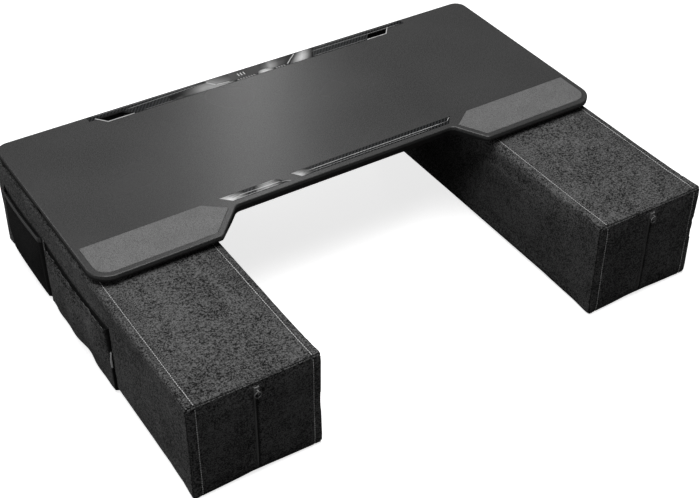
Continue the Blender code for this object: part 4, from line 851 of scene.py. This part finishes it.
def inflate(start, middle, half):
    """Blow the closed cloth up, with no point moving further than the cap."""
    before = [vert.co.copy() for vert in start.data.vertices]
    cloth = start.modifiers.new("cloth", "CLOTH")
    cloth.settings.quality = 5
    cloth.settings.mass = 0.3
    cloth.settings.tension_stiffness = 18
    cloth.settings.compression_stiffness = 18
    cloth.settings.shear_stiffness = 8
    cloth.settings.bending_stiffness = 0.6
    cloth.settings.use_pressure = True
    cloth.settings.uniform_pressure_force = 4
    cloth.settings.effector_weights.gravity = 0
    cloth.point_cache.frame_start = 1
    cloth.point_cache.frame_end = SIM_FRAMES
    for step in range(1, SIM_FRAMES + 1):
        bpy.context.scene.frame_set(step)
    swollen = applied(start)
    start.modifiers.clear()
    start.data = swollen
    bpy.context.scene.frame_set(1)
    for vert, old in zip(swollen.vertices, before):
        moved = (vert.co - old) * freedom(old, middle, half)
        if moved.length > MOST_MOVE:
            moved = moved.normalized() * MOST_MOVE
        vert.co = old + moved


print("a cushion is blown up for", SIM_FRAMES, "frames of cloth")

# %% [markdown]
# After the cloth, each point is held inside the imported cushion: its sides may crown a little
# between the seams, its bottom is flat, and its top is flat under the board. Slight waves, broad
# and fine ones, are taken off the limit, because stretched cloth is never quite even.

# %% Holding the cloth
ROOM = 0.1 * MM
EDGE_EASE = 0.5 * MM
BROAD_EASE = 0.9 * MM
FINE_EASE = 0.35 * MM
BROAD_WAVES = 11
FINE_WAVES = 42
TOP_EASE = 0.8


def hold_inside(mesh, low, high, seed):
    """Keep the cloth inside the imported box, with slight waves like stretched cloth."""
    middle, half = (low + high) / 2, (high - low) / 2
    for vert in mesh.vertices:
        share = shares_of(vert.co, middle, half)
        wave = noise.noise(vert.co * BROAD_WAVES + Vector((seed, 0, 0)))
        fine = noise.noise(vert.co * FINE_WAVES + Vector((0, seed, 0)))
        ease = (0.5 + 0.5 * wave) * BROAD_EASE + (0.5 + 0.5 * fine) * FINE_EASE
        for axis in (0, 1):
            first, second = panel_swelling(share, axis)
            limit = half[axis] - ROOM - EDGE_EASE * (1 - first * second)
            limit -= ease * first * second
            offset = vert.co[axis] - middle[axis]
            vert.co[axis] = middle[axis] + max(-limit, min(limit, offset))
        top = high.z - ROOM
        if vert.co.y < BOARD_FRONT:
            top -= ease * swelling(share[0]) * TOP_EASE
        vert.co.z = max(low.z, min(top, vert.co.z))


print("waves up to", round((BROAD_EASE + FINE_EASE) / MM, 2), "mm deep")

# %% [markdown]
# Firm foam leaves no panel sunk, so whatever the cloth left too deep is brought out, up to a
# round edge. A sewn box has squarer edges than that, because the seams' turned cloth fills them.
# So a superellipse squares them up after the mesh has been made finer.

# %% Firm panels and edges
CORNER_REACH = 10 * MM
SQUARENESS = 5
PANEL_SLACK = 1.4 * MM


def gaps_of(place, low, high):
    """How deep a point lies inside the nearer wall of a box, along each axis."""
    return [min(place[axis] - low[axis], high[axis] - place[axis]) for axis in range(3)]


def set_gap(vert, axis, gap, low, high):
    """Move a point to a depth inside the nearer wall."""
    from_low = vert.co[axis] - low[axis] < high[axis] - vert.co[axis]
    vert.co[axis] = low[axis] + gap if from_low else high[axis] - gap


def press_out(mesh, low, high):
    """Bring out panels that stayed sunk, up to a round edge of CORNER_REACH, as firm foam does."""
    for vert in mesh.vertices:
        gaps = gaps_of(vert.co, low, high)
        axis = gaps.index(min(gaps))
        beside = min(gap for other, gap in enumerate(gaps) if other != axis)
        into = max(0.0, CORNER_REACH - max(0.0, beside))
        most = PANEL_SLACK + CORNER_REACH - math.sqrt(CORNER_REACH ** 2 - into ** 2)
        if gaps[axis] > most:
            set_gap(vert, axis, most, low, high)


def square_up(mesh, low, high):
    """Press the rounded edges out to the firm edges of a sewn box, by a superellipse."""
    for vert in mesh.vertices:
        near = [min(1, max(0.0, 1 - gap / CORNER_REACH)) for gap in gaps_of(vert.co, low, high)]
        if sum(value > 0 for value in near) < 2:
            continue
        round_size = math.sqrt(sum(value ** 2 for value in near))
        square_size = sum(value ** SQUARENESS for value in near) ** (1 / SQUARENESS)
        for axis in range(3):
            if near[axis] > 0:
                gap = CORNER_REACH * (1 - min(1, near[axis] * round_size / square_size))
                set_gap(vert, axis, gap, low, high)


def hold_again(mesh, low, high):
    """Square the edges up, then bring back what subdivision rounded past the box by a hair."""
    square_up(mesh, low, high)
    for vert in mesh.vertices:
        for axis in range(3):
            vert.co[axis] = max(low[axis], min(high[axis] - ROOM * (axis == 2), vert.co[axis]))


print("edges squared within", round(CORNER_REACH / MM), "mm")

# %% [markdown]
# Then come the sewn details. For each seam a plane cuts lines of new edges through the cover,
# and the middle line is pushed in and darkened with painted shade. The same cut, wider and
# shallower, makes the dip that a topstitch pulls, and paints shade into it as well.

# %% Cutting and sewing seams
SEAM_HALF_WIDTH = 1.1 * MM
END_SEAM_HALF_WIDTH = 1.8 * MM
SEAM_DEPTH = 1.5 * MM
END_SEAM_DEPTH = 1.0 * MM
TOP_SEAM_DROP = 2 * MM
LOW_SEAM_RISE = 5 * MM
END_SEAM_BACK = 3.5 * MM
THREAD_INSET = 13 * MM
THREAD_DIP = 0.7 * MM
THREAD_GROOVE = 1.9 * MM
FACE_REACH = 4 * MM
CUT_REACH = 0.00005


def cut(work, axis, value):
    """A line of new edges through the whole piece at one coordinate."""
    place = Vector((0, 0, 0))
    normal = Vector((0, 0, 0))
    place[axis] = value
    normal[axis] = 1
    bmesh.ops.bisect_plane(
        work, geom=work.verts[:] + work.edges[:] + work.faces[:], dist=CUT_REACH,
        plane_co=place, plane_no=normal,
    )


def sew(work, axis, value, chosen, depth, shade, half_width=SEAM_HALF_WIDTH):
    """A seam: three cuts, the middle one pushed in and given painted shade where chosen(vert) says
    so.
    """
    seam = work.verts.layers.float["seam"]
    for offset in (-half_width, 0, half_width):
        cut(work, axis, value + offset)
    work.normal_update()
    # The value named seam holds painted shade: full in the pushed-in line, faint just beside it.
    for vert in work.verts:
        near = 1 - abs(vert.co[axis] - value) / half_width
        if near > -0.01 and chosen(vert):
            if near > 0.9:
                vert.co -= vert.normal * depth
                vert[seam] = max(vert[seam], shade)
            else:
                vert[seam] = max(vert[seam], shade * 0.15)


def sew_seams(work, low, high):
    """The seams of one cushion, and the dip that each topstitch pulls."""
    def on_side(vert):
        return min(vert.co.x - low.x, high.x - vert.co.x) < FACE_REACH

    def on_end(vert):
        return min(vert.co.y - low.y, high.y - vert.co.y) < FACE_REACH

    def on_top(vert):
        return high.z - vert.co.z < FACE_REACH

    def around(vert):
        return on_side(vert) or on_end(vert)

    def over(vert):
        return on_top(vert) or on_end(vert)

    # Each call paints shade into its groove by its shade value, and the topstitch dips get it too.
    sew(work, 2, high.z - TOP_SEAM_DROP, on_side, SEAM_DEPTH, 1.0)
    sew(work, 2, low.z + LOW_SEAM_RISE, around, SEAM_DEPTH, 0.9)
    for value in (low.y + END_SEAM_BACK, high.y - END_SEAM_BACK):
        sew(work, 1, value, on_side, SEAM_DEPTH, 1.0)
        sew(work, 1, value, on_top, END_SEAM_DEPTH, 1.0, END_SEAM_HALF_WIDTH)
    for value in (low.x + THREAD_INSET, high.x - THREAD_INSET):
        sew(work, 0, value, over, THREAD_DIP, 0.85, THREAD_GROOVE)


print("seams", round(SEAM_DEPTH / MM, 1), "mm deep")

# %% [markdown]
# The zip sits in a slit down the front face. The slit's edges are cut in, the cloth between them
# is pushed back, and the cloth beside it is raised into the two folds that hide most of the zip.
# Painted shade darkens the cloth inside the slit, and a painted shadow lines the right fold's
# inner edge.

# %% Zip slit
SLIT_LEFT = 4.4 * MM
SLIT_RIGHT = 1.2 * MM
SLIT_DEPTH = 1.3 * MM
SLIT_END = 7.2 * MM
SLIT_TURN = 0.8 * MM
FOLD_WIDTH = 5.5 * MM
FOLD_HEIGHT = 0.9 * MM
FRONT_REACH = 5 * MM


def slit_span(low, high):
    """The slit's middle, which lies left of the cushion's own, and half its width."""
    middle = (low.x + high.x) / 2 + (SLIT_RIGHT - SLIT_LEFT) / 2
    return middle, (SLIT_RIGHT + SLIT_LEFT) / 2


def cut_zip_slit(work, low, high):
    """Push the slit back, raise the fold on each side of it, and paint shade into the slit and
    along the right fold's inner edge.
    """
    seam = work.verts.layers.float["seam"]
    middle, half = slit_span(low, high)
    bottom, top = low.z + SLIT_END, high.z - SLIT_END
    for sign in (-1, 1):
        for offset in (half, half + 0.5 * MM, half + FOLD_WIDTH / 2, half + FOLD_WIDTH):
            cut(work, 0, middle + sign * offset)
    for value in (bottom, bottom + SLIT_TURN, top, top - SLIT_TURN):
        cut(work, 2, value)
    for vert in work.verts:
        if vert.co.y - low.y > FRONT_REACH or not bottom + 0.5 * MM < vert.co.z < top - 0.5 * MM:
            continue
        aside = abs(vert.co.x - middle)
        # The value named seam gets painted shade inside the slit, and a painted shadow along the
        # right fold's inner edge.
        if aside < half + 0.1 * MM:
            vert.co.y = max(low.y + SLIT_DEPTH, vert.co.y) + 0.4 * MM
            vert[seam] = 0.6
        elif aside < half + FOLD_WIDTH:
            rise = math.sin(math.pi * (aside - half) / FOLD_WIDTH)
            vert.co.y = max(low.y, vert.co.y - FOLD_HEIGHT * max(rise, 0.25))
            if vert.co.x > middle:
                vert[seam] = max(vert[seam], 0.9 * (1 - min(1, (aside - half) / SLIT_TURN)))


print("slit", round((SLIT_LEFT + SLIT_RIGHT) / MM, 1), "mm wide")

# %% [markdown]
# Now each cushion is made in the order in which it was explained.

# %% Both cushions
FOLD_ANGLE = math.radians(75)


def sewn_cushion(side, seed):
    """One cushion's cover, swollen and sewn."""
    node = f"{side}_cushion_cover"
    low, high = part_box(node)
    start = cushion_start(f"{side}_cushion_suede", low, high)
    inflate(start, (low + high) / 2, (high - low) / 2)
    hold_inside(start.data, low, high, seed)
    press_out(start.data, low, high)
    smooth = start.modifiers.new("finer", "SUBSURF")
    smooth.levels = 1
    smooth.render_levels = 1
    finer = applied(start)
    start.modifiers.clear()
    bpy.data.objects.remove(start)
    hold_again(finer, low, high)
    work = bmesh.new()
    work.from_mesh(finer)
    work.verts.layers.float.new("seam")
    sew_seams(work, low, high)
    cut_zip_slit(work, low, high)
    piece = finished_piece(
        work, f"{side}_cushion_suede", suede, f"{side}_cushion", FOLD_ANGLE
    )
    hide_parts(node, f"{side}_cushion_foam")
    return piece


cushions = {side: sewn_cushion(side, seed) for side, seed in (("left", 3.1), ("right", 8.7))}
for side, piece in cushions.items():
    print(piece.name, len(piece.data.polygons), "faces")

# %% [markdown]
# ## Topstitching
# A pale thread runs 13 mm inside each long edge and down both end faces. A thread is a row of
# short stitches that dive into the cloth, so each one is its own small capsule, laid on the
# cloth where a ray from outside meets it. Their number is high, so one capsule has few faces.

# %% Stitches
STITCH_LENGTH = 3.5 * MM
STITCH_GAP = 0.3 * MM
THREAD_RADIUS = 0.85 * MM
THREAD_END = 5 * MM
THREAD_FLATNESS = 0.8
THREAD_RISE = 0.45
DROP_HEIGHT = 0.03
SEAM_STITCH_LENGTH = 4.2 * MM
SEAM_STITCH_GAP = 2.3 * MM
SEAM_THREAD_RADIUS = 1.0 * MM


def surface_of(piece):
    """A tree of a piece's faces, to find places on it."""
    work = bmesh.new()
    work.from_mesh(piece.data)
    tree = BVHTree.FromBMesh(work)
    work.free()
    return tree


def add_stitch(work, place, along, outward, radius, length):
    """One capsule that lies on the cloth and points along the seam."""
    made = bmesh.ops.create_uvsphere(work, u_segments=6, v_segments=5, radius=radius)
    side = along.cross(outward).normalized()
    axes = Matrix((side, outward, along.normalized())).transposed().to_4x4()
    stretch = Matrix.Diagonal((1, THREAD_FLATNESS, length / (2 * radius), 1))
    laid = Matrix.Translation(place) @ axes @ stretch
    bmesh.ops.transform(work, matrix=laid, verts=made["verts"])


def stitch_row(work, surface, start, end, inward, length=STITCH_LENGTH, gap=STITCH_GAP,
               radius=THREAD_RADIUS):
    """Stitches from start to end, dropped onto the cloth along a direction."""
    along = (end - start).normalized()
    count = int((end - start).length / (length + gap))
    step = (end - start).length / count
    for index in range(count):
        above = start + along * (index + 0.5) * step - inward * DROP_HEIGHT
        place, normal, _, _ = surface.ray_cast(above, inward)
        if place is not None:
            lay = (along - normal * along.dot(normal)).normalized()
            middle = place + normal * radius * THREAD_RISE
            add_stitch(work, middle, lay, normal, radius, length)


def on_cushion(side):
    """What a detail starts from: the cushion's corners, the tree of its cloth and a new bmesh."""
    return (*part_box(f"{side}_cushion_cover"), surface_of(cushions[side]), bmesh.new())


def topstitch(side):
    """The pale threads of one cushion, over its top and down its end faces."""
    low, high, surface, work = on_cushion(side)
    rows = (
        ((low.y + THREAD_END, high.z), (high.y - THREAD_END, high.z), (0, 0, -1)),
        ((low.y, low.z + THREAD_END), (low.y, high.z - THREAD_END), (0, 1, 0)),
        ((high.y, low.z + THREAD_END), (high.y, high.z - THREAD_END), (0, -1, 0)),
    )
    for x in (low.x + THREAD_INSET, high.x - THREAD_INSET):
        for start, end, inward in rows:
            stitch_row(work, surface, Vector((x, *start)), Vector((x, *end)), Vector(inward))
    return finished_piece(work, f"{side}_topstitch", pale_thread, f"{side}_cushion")


def seam_stitches(side):
    """The dark stitches in the seam along each end of the top."""
    low, high, surface, work = on_cushion(side)
    for y in (low.y + END_SEAM_BACK, high.y - END_SEAM_BACK):
        stitch_row(
            work, surface, Vector((low.x + THREAD_INSET, y, high.z)),
            Vector((high.x - THREAD_INSET, y, high.z)), Vector((0, 0, -1)),
            SEAM_STITCH_LENGTH, SEAM_STITCH_GAP, SEAM_THREAD_RADIUS,
        )
    return finished_piece(work, f"{side}_seam_stitches", dark_thread, f"{side}_cushion")


print("stitches", round((STITCH_LENGTH + STITCH_GAP) / MM, 1), "mm apart")

# %% [markdown]
# Along each end of the top the seam's turned cloth makes a small roll, pinched wherever a stitch
# pulls it down. It is a grid rolled to a tube. A slanted ray finds the cushion's edge for each
# place along it, so that the roll lies in the cloth and doesn't float.

# %% Seam ridge and all stitches
RIDGE_RADIUS = 1.15 * MM
RIDGE_END = 8 * MM
RIDGE_SINK = 0.4 * MM
RIDGE_STEP = 0.9 * MM
PUCKER_PITCH = 6.5 * MM


def seam_ridge(side):
    """The roll of turned cloth along each end of the top, pinched between its stitches."""
    low, high, surface, work = on_cushion(side)
    work.verts.layers.float.new("seam")
    length = high.x - low.x - 2 * RIDGE_END
    columns = round(length / RIDGE_STEP)
    for end_y, inward in ((low.y, 1), (high.y, -1)):
        diagonal = Vector((0, inward, -1)).normalized()
        centres = {}
        made = bmesh.ops.create_grid(work, x_segments=columns, y_segments=10, size=1)
        for vert in made["verts"]:
            along, angle = vert.co.x * length / 2, vert.co.y * math.pi
            pinch = abs(math.sin(math.pi * along / PUCKER_PITCH))
            tip = min(1, (1.02 - abs(vert.co.x)) * 30)
            radius = RIDGE_RADIUS * (0.62 + 0.38 * pinch) * tip
            x = (low.x + high.x) / 2 + along
            column = round(x / (0.1 * MM))
            if column not in centres:
                corner = Vector((x, end_y, high.z))
                place = surface.ray_cast(corner - diagonal * 5 * MM, diagonal)[0] or corner
                centres[column] = place + diagonal * RIDGE_SINK
            around = Vector((0, inward * radius * math.cos(angle), radius * math.sin(angle)))
            vert.co = Vector((x, centres[column].y, centres[column].z)) + around
        bmesh.ops.remove_doubles(work, verts=made["verts"], dist=0.01 * MM)
    bmesh.ops.recalc_face_normals(work, faces=work.faces)
    return finished_piece(work, f"{side}_seam_ridge", suede, f"{side}_cushion")


for side in cushions:
    threads = topstitch(side)
    seam_stitches(side)
    seam_ridge(side)
    print(threads.name, len(threads.data.polygons), "faces")

# %% [markdown]
# ## Zips
# Each zip has a woven tape at the bottom of its slit, two rows of teeth that mesh down the
# middle, and a ring through the slider's loop. The teeth are small blocks set left and right by
# turns, and bevelled all at once. The ring is a small circle spun about the ring's middle.

# %% Tape, teeth and rings
TOOTH_PITCH = 1.5 * MM
TOOTH_SIZE = Vector((1.5, 0.9, 0.95)) * MM
TOOTH_ASIDE = 0.3 * MM
TOOTH_BACK = -0.2 * MM
TAPE_THICKNESS = 0.3 * MM
TAPE_RISE = 0.4 * MM


def slit_floor(side):
    """How far back the bottom of the slit lies at a height, as a function of the height."""
    low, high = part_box(f"{side}_cushion_cover")
    surface = surface_of(cushions[side])
    middle, _ = slit_span(low, high)

    def depth(z):
        place = surface.ray_cast(Vector((middle, low.y - 10 * MM, z)), Vector((0, 1, 0)))[0]
        return low.y + SLIT_DEPTH if place is None else place.y - TAPE_RISE

    return depth


def zip_tape(side):
    """The woven tape at the bottom of the slit, with a cord raised along it."""
    low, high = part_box(f"{side}_cushion_cover")
    middle, half = slit_span(low, high)
    half -= 0.1 * MM
    height = high.z - low.z - 2 * SLIT_END
    depth = slit_floor(side)
    work = bmesh.new()
    bmesh.ops.create_grid(work, x_segments=12, y_segments=70, size=0.5)
    for vert in work.verts:
        across = vert.co.x * 2
        cord = math.exp(-((across + 0.35) / 0.4) ** 2) * 0.7 * MM
        z = (low.z + high.z) / 2 + vert.co.y * height
        vert.co = Vector((middle + across * half, depth(z) - cord, z))
    face_towards(work, (0, -1, 0))
    piece = finished_piece(
        work, f"{side}_zip_tape_woven", zip_cloth, f"{side}_cushion"
    )
    thicken(piece, "cloth", TAPE_THICKNESS)
    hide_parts(f"{side}_zip_tape")
    return piece


def zip_teeth(side):
    """Two rows of teeth that mesh down the middle."""
    low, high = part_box(f"{side}_cushion_cover")
    middle = (low.x + high.x) / 2
    work = bmesh.new()
    depth = slit_floor(side)
    bottom, top = low.z + SLIT_END + 2 * MM, high.z - SLIT_END - 2 * MM
    count = int((top - bottom) / TOOTH_PITCH)
    for index in range(count):
        sign = 1 if index % 2 else -1
        made = bmesh.ops.create_cube(work, size=1)
        verts = made["verts"]
        bmesh.ops.scale(work, vec=TOOTH_SIZE, verts=verts)
        z = bottom + index * TOOTH_PITCH
        place = Vector((middle + sign * TOOTH_ASIDE, depth(z) + TOOTH_BACK, z))
        bmesh.ops.translate(work, vec=place, verts=verts)
    round_edges(work, work.edges[:], 0.2 * MM, 1)
    return finished_piece(work, f"{side}_zip_teeth", zip_nylon, f"{side}_cushion")


def pull_ring(side):
    """The round ring that hangs in the slider's loop."""
    node = f"{side}_zip_pull"
    low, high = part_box(node)
    middle = (low + high) / 2
    wire = (high.y - low.y) / 2
    radius = (high.x - low.x) / 2 - wire
    work = bmesh.new()
    made = bmesh.ops.create_circle(work, segments=12, radius=wire)
    bmesh.ops.translate(work, vec=(radius, 0, 0), verts=made["verts"])
    bmesh.ops.spin(
        work, geom=work.verts[:] + work.edges[:], cent=(0, 0, 0), axis=(0, 1, 0),
        dvec=(0, 0, 0), angle=2 * math.pi, steps=40, use_merge=True, use_duplicate=False,
    )
    bmesh.ops.recalc_face_normals(work, faces=work.faces)
    bmesh.ops.translate(work, vec=middle, verts=work.verts)
    piece = finished_piece(work, f"{side}_pull_ring", zip_metal, node)
    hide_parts(node)
    return piece


for side in cushions:
    zip_tape(side)
    teeth = zip_teeth(side)
    ring = pull_ring(side)
    print(teeth.name, ring.name, [round(value / MM, 1) for value in ring.dimensions])

# %% [markdown]
# ## Pockets
# Two pockets are sewn to the left cushion's outer side: one of netting with an elastic top, and
# one of the cover's own suede that gapes at its mouth. A sheet of even squares is laid over the
# packed pocket by rays from outside, so it follows that shape. A second ray finds the cushion's
# real side, where the sheet's foot and ends are sewn on, and from which its mouth stands off.

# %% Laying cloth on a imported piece
OUTSIDE = 0.02
SEARCH_STEP = 0.25 * MM
SEWN_DEPTH = 0.4 * MM
DRAWN_FROM = 0.45
FRONT_STAND = 40
BACK_STAND = 12


def node_surface(node):
    """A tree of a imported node's faces."""
    work = bmesh.new()
    work.from_mesh(frame["nodes"][node].data)
    tree = BVHTree.FromBMesh(work)
    work.free()
    return tree


def edge_height(surface, y, low, high, step):
    """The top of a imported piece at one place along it, or its bottom where the step is upward."""
    z = high.z if step < 0 else low.z
    while low.z <= z <= high.z:
        if surface.ray_cast(Vector((low.x - OUTSIDE, y, z)), Vector((1, 0, 0)))[0] is not None:
            return z
        z += step
    return high.z if step < 0 else low.z


def mouth_height(mouth, along):
    """The mouth's height at a share of its length, from its front end, middle and back end."""
    front, centre, back = mouth
    end = front + (back - front) * along
    return end + (centre - end) * (1 - (2 * along - 1) ** 2)


def laid_sheet(node, columns, rows, mouth, gap, start=0.0, inset=0.4 * MM):
    """A grid over a packed pocket's outer face, as a bmesh, with each vertex's (along, up) share.

    Both ends and the foot come back to the cushion, where they are sewn on. Towards the mouth the
    cloth is drawn in until only a gap is left, which opens quickly from the front end and more
    slowly from the back one. A start above zero keeps just the upper part.
    """
    low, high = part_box(node)
    surface, wall = node_surface(node), surface_of(cushions["left"])
    work = bmesh.new()
    work.verts.layers.float.new("seam")
    bmesh.ops.create_grid(work, x_segments=columns, y_segments=rows, size=1)
    across = Vector((1, 0, 0))
    reach = {}
    shares = {}
    for vert in work.verts:
        along, up = (vert.co.x + 1) / 2, start + (1 - start) * (vert.co.y + 1) / 2
        column = round(along * columns)
        y = low.y + inset + (high.y - low.y - 2 * inset) * along
        if column not in reach:
            bottom = edge_height(surface, y, low, high, SEARCH_STEP) + inset
            top = edge_height(surface, y, low, high, -SEARCH_STEP)
            reach[column] = (bottom, top - inset - bottom)
        bottom, packed = reach[column]
        z = bottom + (mouth_height(mouth, along) - bottom) * up
        outside = Vector((low.x - OUTSIDE, y, bottom + packed * up))
        outer = surface.ray_cast(outside, across)[0]
        back = wall.ray_cast(Vector((low.x - OUTSIDE, y, z)), across)[0]
        behind = high.x + 0.6 * MM if back is None else back.x + SEWN_DEPTH
        shares[vert] = (along, up)
        sewn = column in (0, columns) or up < 0.001 or outer is None
        x = behind if sewn else min(outer.x, behind)
        drawn = max(0, up - DRAWN_FROM) / (1 - DRAWN_FROM)
        drawn = drawn * drawn * (3 - 2 * drawn)
        open_share = min(1, FRONT_STAND * along, BACK_STAND * (1 - along)) * (not sewn)
        stand = behind - (gap + SEWN_DEPTH) * open_share
        vert.co = Vector((x + (stand - x) * drawn, y, z))
    face_towards(work, (-1, 0, 0))
    return work, shares


def shade_behind(node, mouth):
    """Darken the cushion's cloth behind a pocket, where no light gets in."""
    low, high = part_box(node)
    mesh = cushions["left"].data
    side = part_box("left_cushion_cover")[0].x
    # The value named seam carries this painted shade.
    for vert, value in zip(mesh.vertices, mesh.attributes["seam"].data):
        along = (vert.co.y - low.y) / (high.y - low.y)
        if 0.01 < along < 0.99 and vert.co.x < side + 6 * MM:
            below = mouth_height(mouth, along) - vert.co.z
            if low.z + 4 * MM < vert.co.z:
                value.value = max(value.value, min(1, max(0, below / (3 * MM))))


print("sheets are sewn", round(SEWN_DEPTH / MM, 1), "mm deep into the cushion's side")

# %% [markdown]
# The suede pocket is a single layer of the cover's cloth. Sums of waves give it what its slack
# makes: broad creases down its face, a sagging foot and small ruffles at the mouth where the hem
# is gathered. Painted shade darkens its pressed-in hem, and a painted shadow runs round its rim,
# where it meets the cushion. Its mouth's height and gap were read from the photograph.

# %% Suede pocket
SUEDE_MOUTH = (115 * MM, 108 * MM, 116 * MM)
SUEDE_GAP = 7.5 * MM
POCKET_THICKNESS = 1.0 * MM
SAG = 1.5 * MM
CREASE = 1.6 * MM
CRUMPLE = 0.5 * MM
RUFFLE = 1.3 * MM
RUFFLE_START = 0.80
MOUTH_LEAN = 1.2 * MM
HEM_PLACE = 0.90
HEM_DEPTH = 0.7 * MM


def suede_pocket():
    """The front pocket: soft creases, a turned hem, and a wavy mouth."""
    work, shares = laid_sheet("suede_pocket", 130, 70, SUEDE_MOUTH, SUEDE_GAP)
    seam = work.verts.layers.float["seam"]
    for vert, (along, up) in shares.items():
        free = min(1, min(along, 1 - along) * 9) * min(1, up * 5)
        swing = math.sin(along * 10 + 0.7) + 0.7 * math.sin(along * 21 + 2)
        sag = swing * SAG * (1 - up) ** 2
        crease = noise.noise(Vector((along * 9, up * 2.2, 4.2))) * CREASE
        crumple = noise.noise(Vector((along * 26, up * 9, 1.7))) * CRUMPLE
        wave = math.sin(along * 74 + 2.4 * math.sin(along * 17)) + 0.5 * math.sin(along * 131 + 1.3)
        ruffle = wave * RUFFLE * max(0, up - RUFFLE_START) / (1 - RUFFLE_START)
        ends = min(1, min(along, 1 - along) * 9)
        if up > 0.001:
            vert.co.x -= (crease + crumple) * free * 0.8 + (ruffle - MOUTH_LEAN) * free
            vert.co.x -= sag * ends
        vert.co.z += ruffle * 1.3 * free
        # Painted shade in the hem's crease and a painted shadow round the rim go into the value
        # named seam.
        hem = 1 - min(1, abs(up - HEM_PLACE) / 0.012)
        rim = max(1 - along / 0.026, 1 - (1 - along) / 0.014, 1 - up / 0.03, 0)
        vert.co.x += HEM_DEPTH * max(hem, 0)
        vert[seam] = max(0.7 * hem, min(1, 2 * rim))
    piece = finished_piece(
        work, "suede_pocket_cloth", suede, "left_cushion", math.radians(80)
    )
    thicken(piece, "cloth", POCKET_THICKNESS)
    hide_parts("suede_pocket")
    shade_behind("suede_pocket", SUEDE_MOUTH)
    return piece


pocket = suede_pocket()
print(pocket.name, len(pocket.data.polygons), "faces")

# %% [markdown]
# The net pocket is a grid of yarn stretched between a folded tape along its foot and sides and a
# ribbed elastic band along its mouth. The grid's squares are poked and their old edges
# dissolved, which leaves diamonds, and a wireframe of them becomes the yarn.

# %% Net pocket
NET_CELL = 2.6 * MM
YARN = 0.95 * MM
NET_MOUTH = (114 * MM, 111 * MM, 119 * MM)
NET_GAP = 5 * MM
BAND_START = 0.92
BAND_THICKNESS = 1.2 * MM
BAND_ROLL = 0.6 * MM
BAND_OUTSIDE = 0.5 * MM
RIB_HEIGHT = 0.18 * MM
HEM = 0.07
HEM_THICKNESS = 0.8 * MM
NET_ASPECT = 1.4
HEM_OUTSIDE = 0.35 * MM


def net_pocket():
    """Netting: a fine grid whose squares are turned to diamonds, with only their edges kept."""
    low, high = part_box("mesh_pocket")
    columns = round((high.y - low.y) / NET_CELL)
    rows = round((high.z - low.z) / NET_CELL)
    work, _ = laid_sheet("mesh_pocket", columns, rows, NET_MOUTH, NET_GAP)
    old = work.edges[:]
    bmesh.ops.poke(work, faces=work.faces[:])
    inner = [edge for edge in old if edge.is_valid and len(edge.link_faces) == 2]
    bmesh.ops.dissolve_edges(work, edges=inner, use_verts=False)
    piece = finished_piece(work, "net_pocket_mesh", net_yarn, "left_cushion")
    yarn = piece.modifiers.new("yarn", "WIREFRAME")
    yarn.thickness = YARN
    yarn.use_boundary = True
    yarn.use_replace = True
    return piece


def net_binding():
    """The ribbed elastic along the net pocket's mouth."""
    work, shares = laid_sheet("mesh_pocket", 90, 8, NET_MOUTH, NET_GAP, BAND_START)
    for vert, (along, up) in shares.items():
        rise = (up - BAND_START) / (1 - BAND_START)
        rib = math.sin(along * 190) * RIB_HEIGHT
        roll = math.sin(math.pi * rise) * BAND_ROLL
        vert.co.x -= rib + roll + BAND_OUTSIDE
    piece = finished_piece(work, "net_pocket_elastic", elastic, "left_cushion")
    thicken(piece, "cloth", BAND_THICKNESS)
    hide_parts("mesh_pocket_binding")
    return piece


def net_hem():
    """The folded cloth tape that closes the net's foot and its two side edges."""
    work, shares = laid_sheet("mesh_pocket", 56, 40, NET_MOUTH, NET_GAP)
    outside = {}
    for vert, (along, up) in shares.items():
        outside[vert] = min(along * NET_ASPECT, (1 - along) * NET_ASPECT, up) < HEM
        vert.co.x -= HEM_OUTSIDE
    inner = [face for face in work.faces if not all(outside[vert] for vert in face.verts)]
    bmesh.ops.delete(work, geom=inner, context="FACES")
    piece = finished_piece(work, "net_pocket_hem", net_yarn, "left_cushion")
    thicken(piece, "cloth", HEM_THICKNESS)
    return piece


net = net_pocket()
binding = net_binding()
hem = net_hem()
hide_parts("mesh_pocket")
shade_behind("mesh_pocket", NET_MOUTH)
print(net.name, binding.name)

# %% [markdown]
# A small bare tag is caught in the suede pocket's front seam: a ribbon folded once, so it has
# two layers and a rounded fold. A thin plate with its outer edge bevelled round gives that.

# %% Tag
def folded_tag():
    """The folded ribbon tag."""
    low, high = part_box("pocket_tag")
    work = bmesh.new()
    bmesh.ops.create_cube(work, size=1)
    bmesh.ops.scale(work, vec=high - low, verts=work.verts)
    bmesh.ops.translate(work, vec=(low + high) / 2, verts=work.verts)
    fold = [edge for edge in work.edges if all(vert.co.x < low.x + 0.1 * MM for vert in edge.verts)
            and abs(edge.verts[0].co.z - edge.verts[1].co.z) > 5 * MM]
    round_edges(work, fold, 0.45 * MM, 4)
    long = [edge for edge in work.edges if edge.calc_length() > 10 * MM]
    bmesh.ops.subdivide_edges(work, edges=long, cuts=14, use_grid_fill=True)
    for vert in work.verts:
        up, outward = vert.co.z - low.z, high.x - vert.co.x
        vert.co.x = high.x - 1.2 * MM - outward * 0.45 - math.sin(up * 190) * 0.5 * MM
        vert.co.y += math.sin(up * 120) * 0.25 * MM
    piece = finished_piece(work, "tag_ribbon", tag_cloth, "left_cushion")
    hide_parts("pocket_tag")
    return piece


print(folded_tag().name)
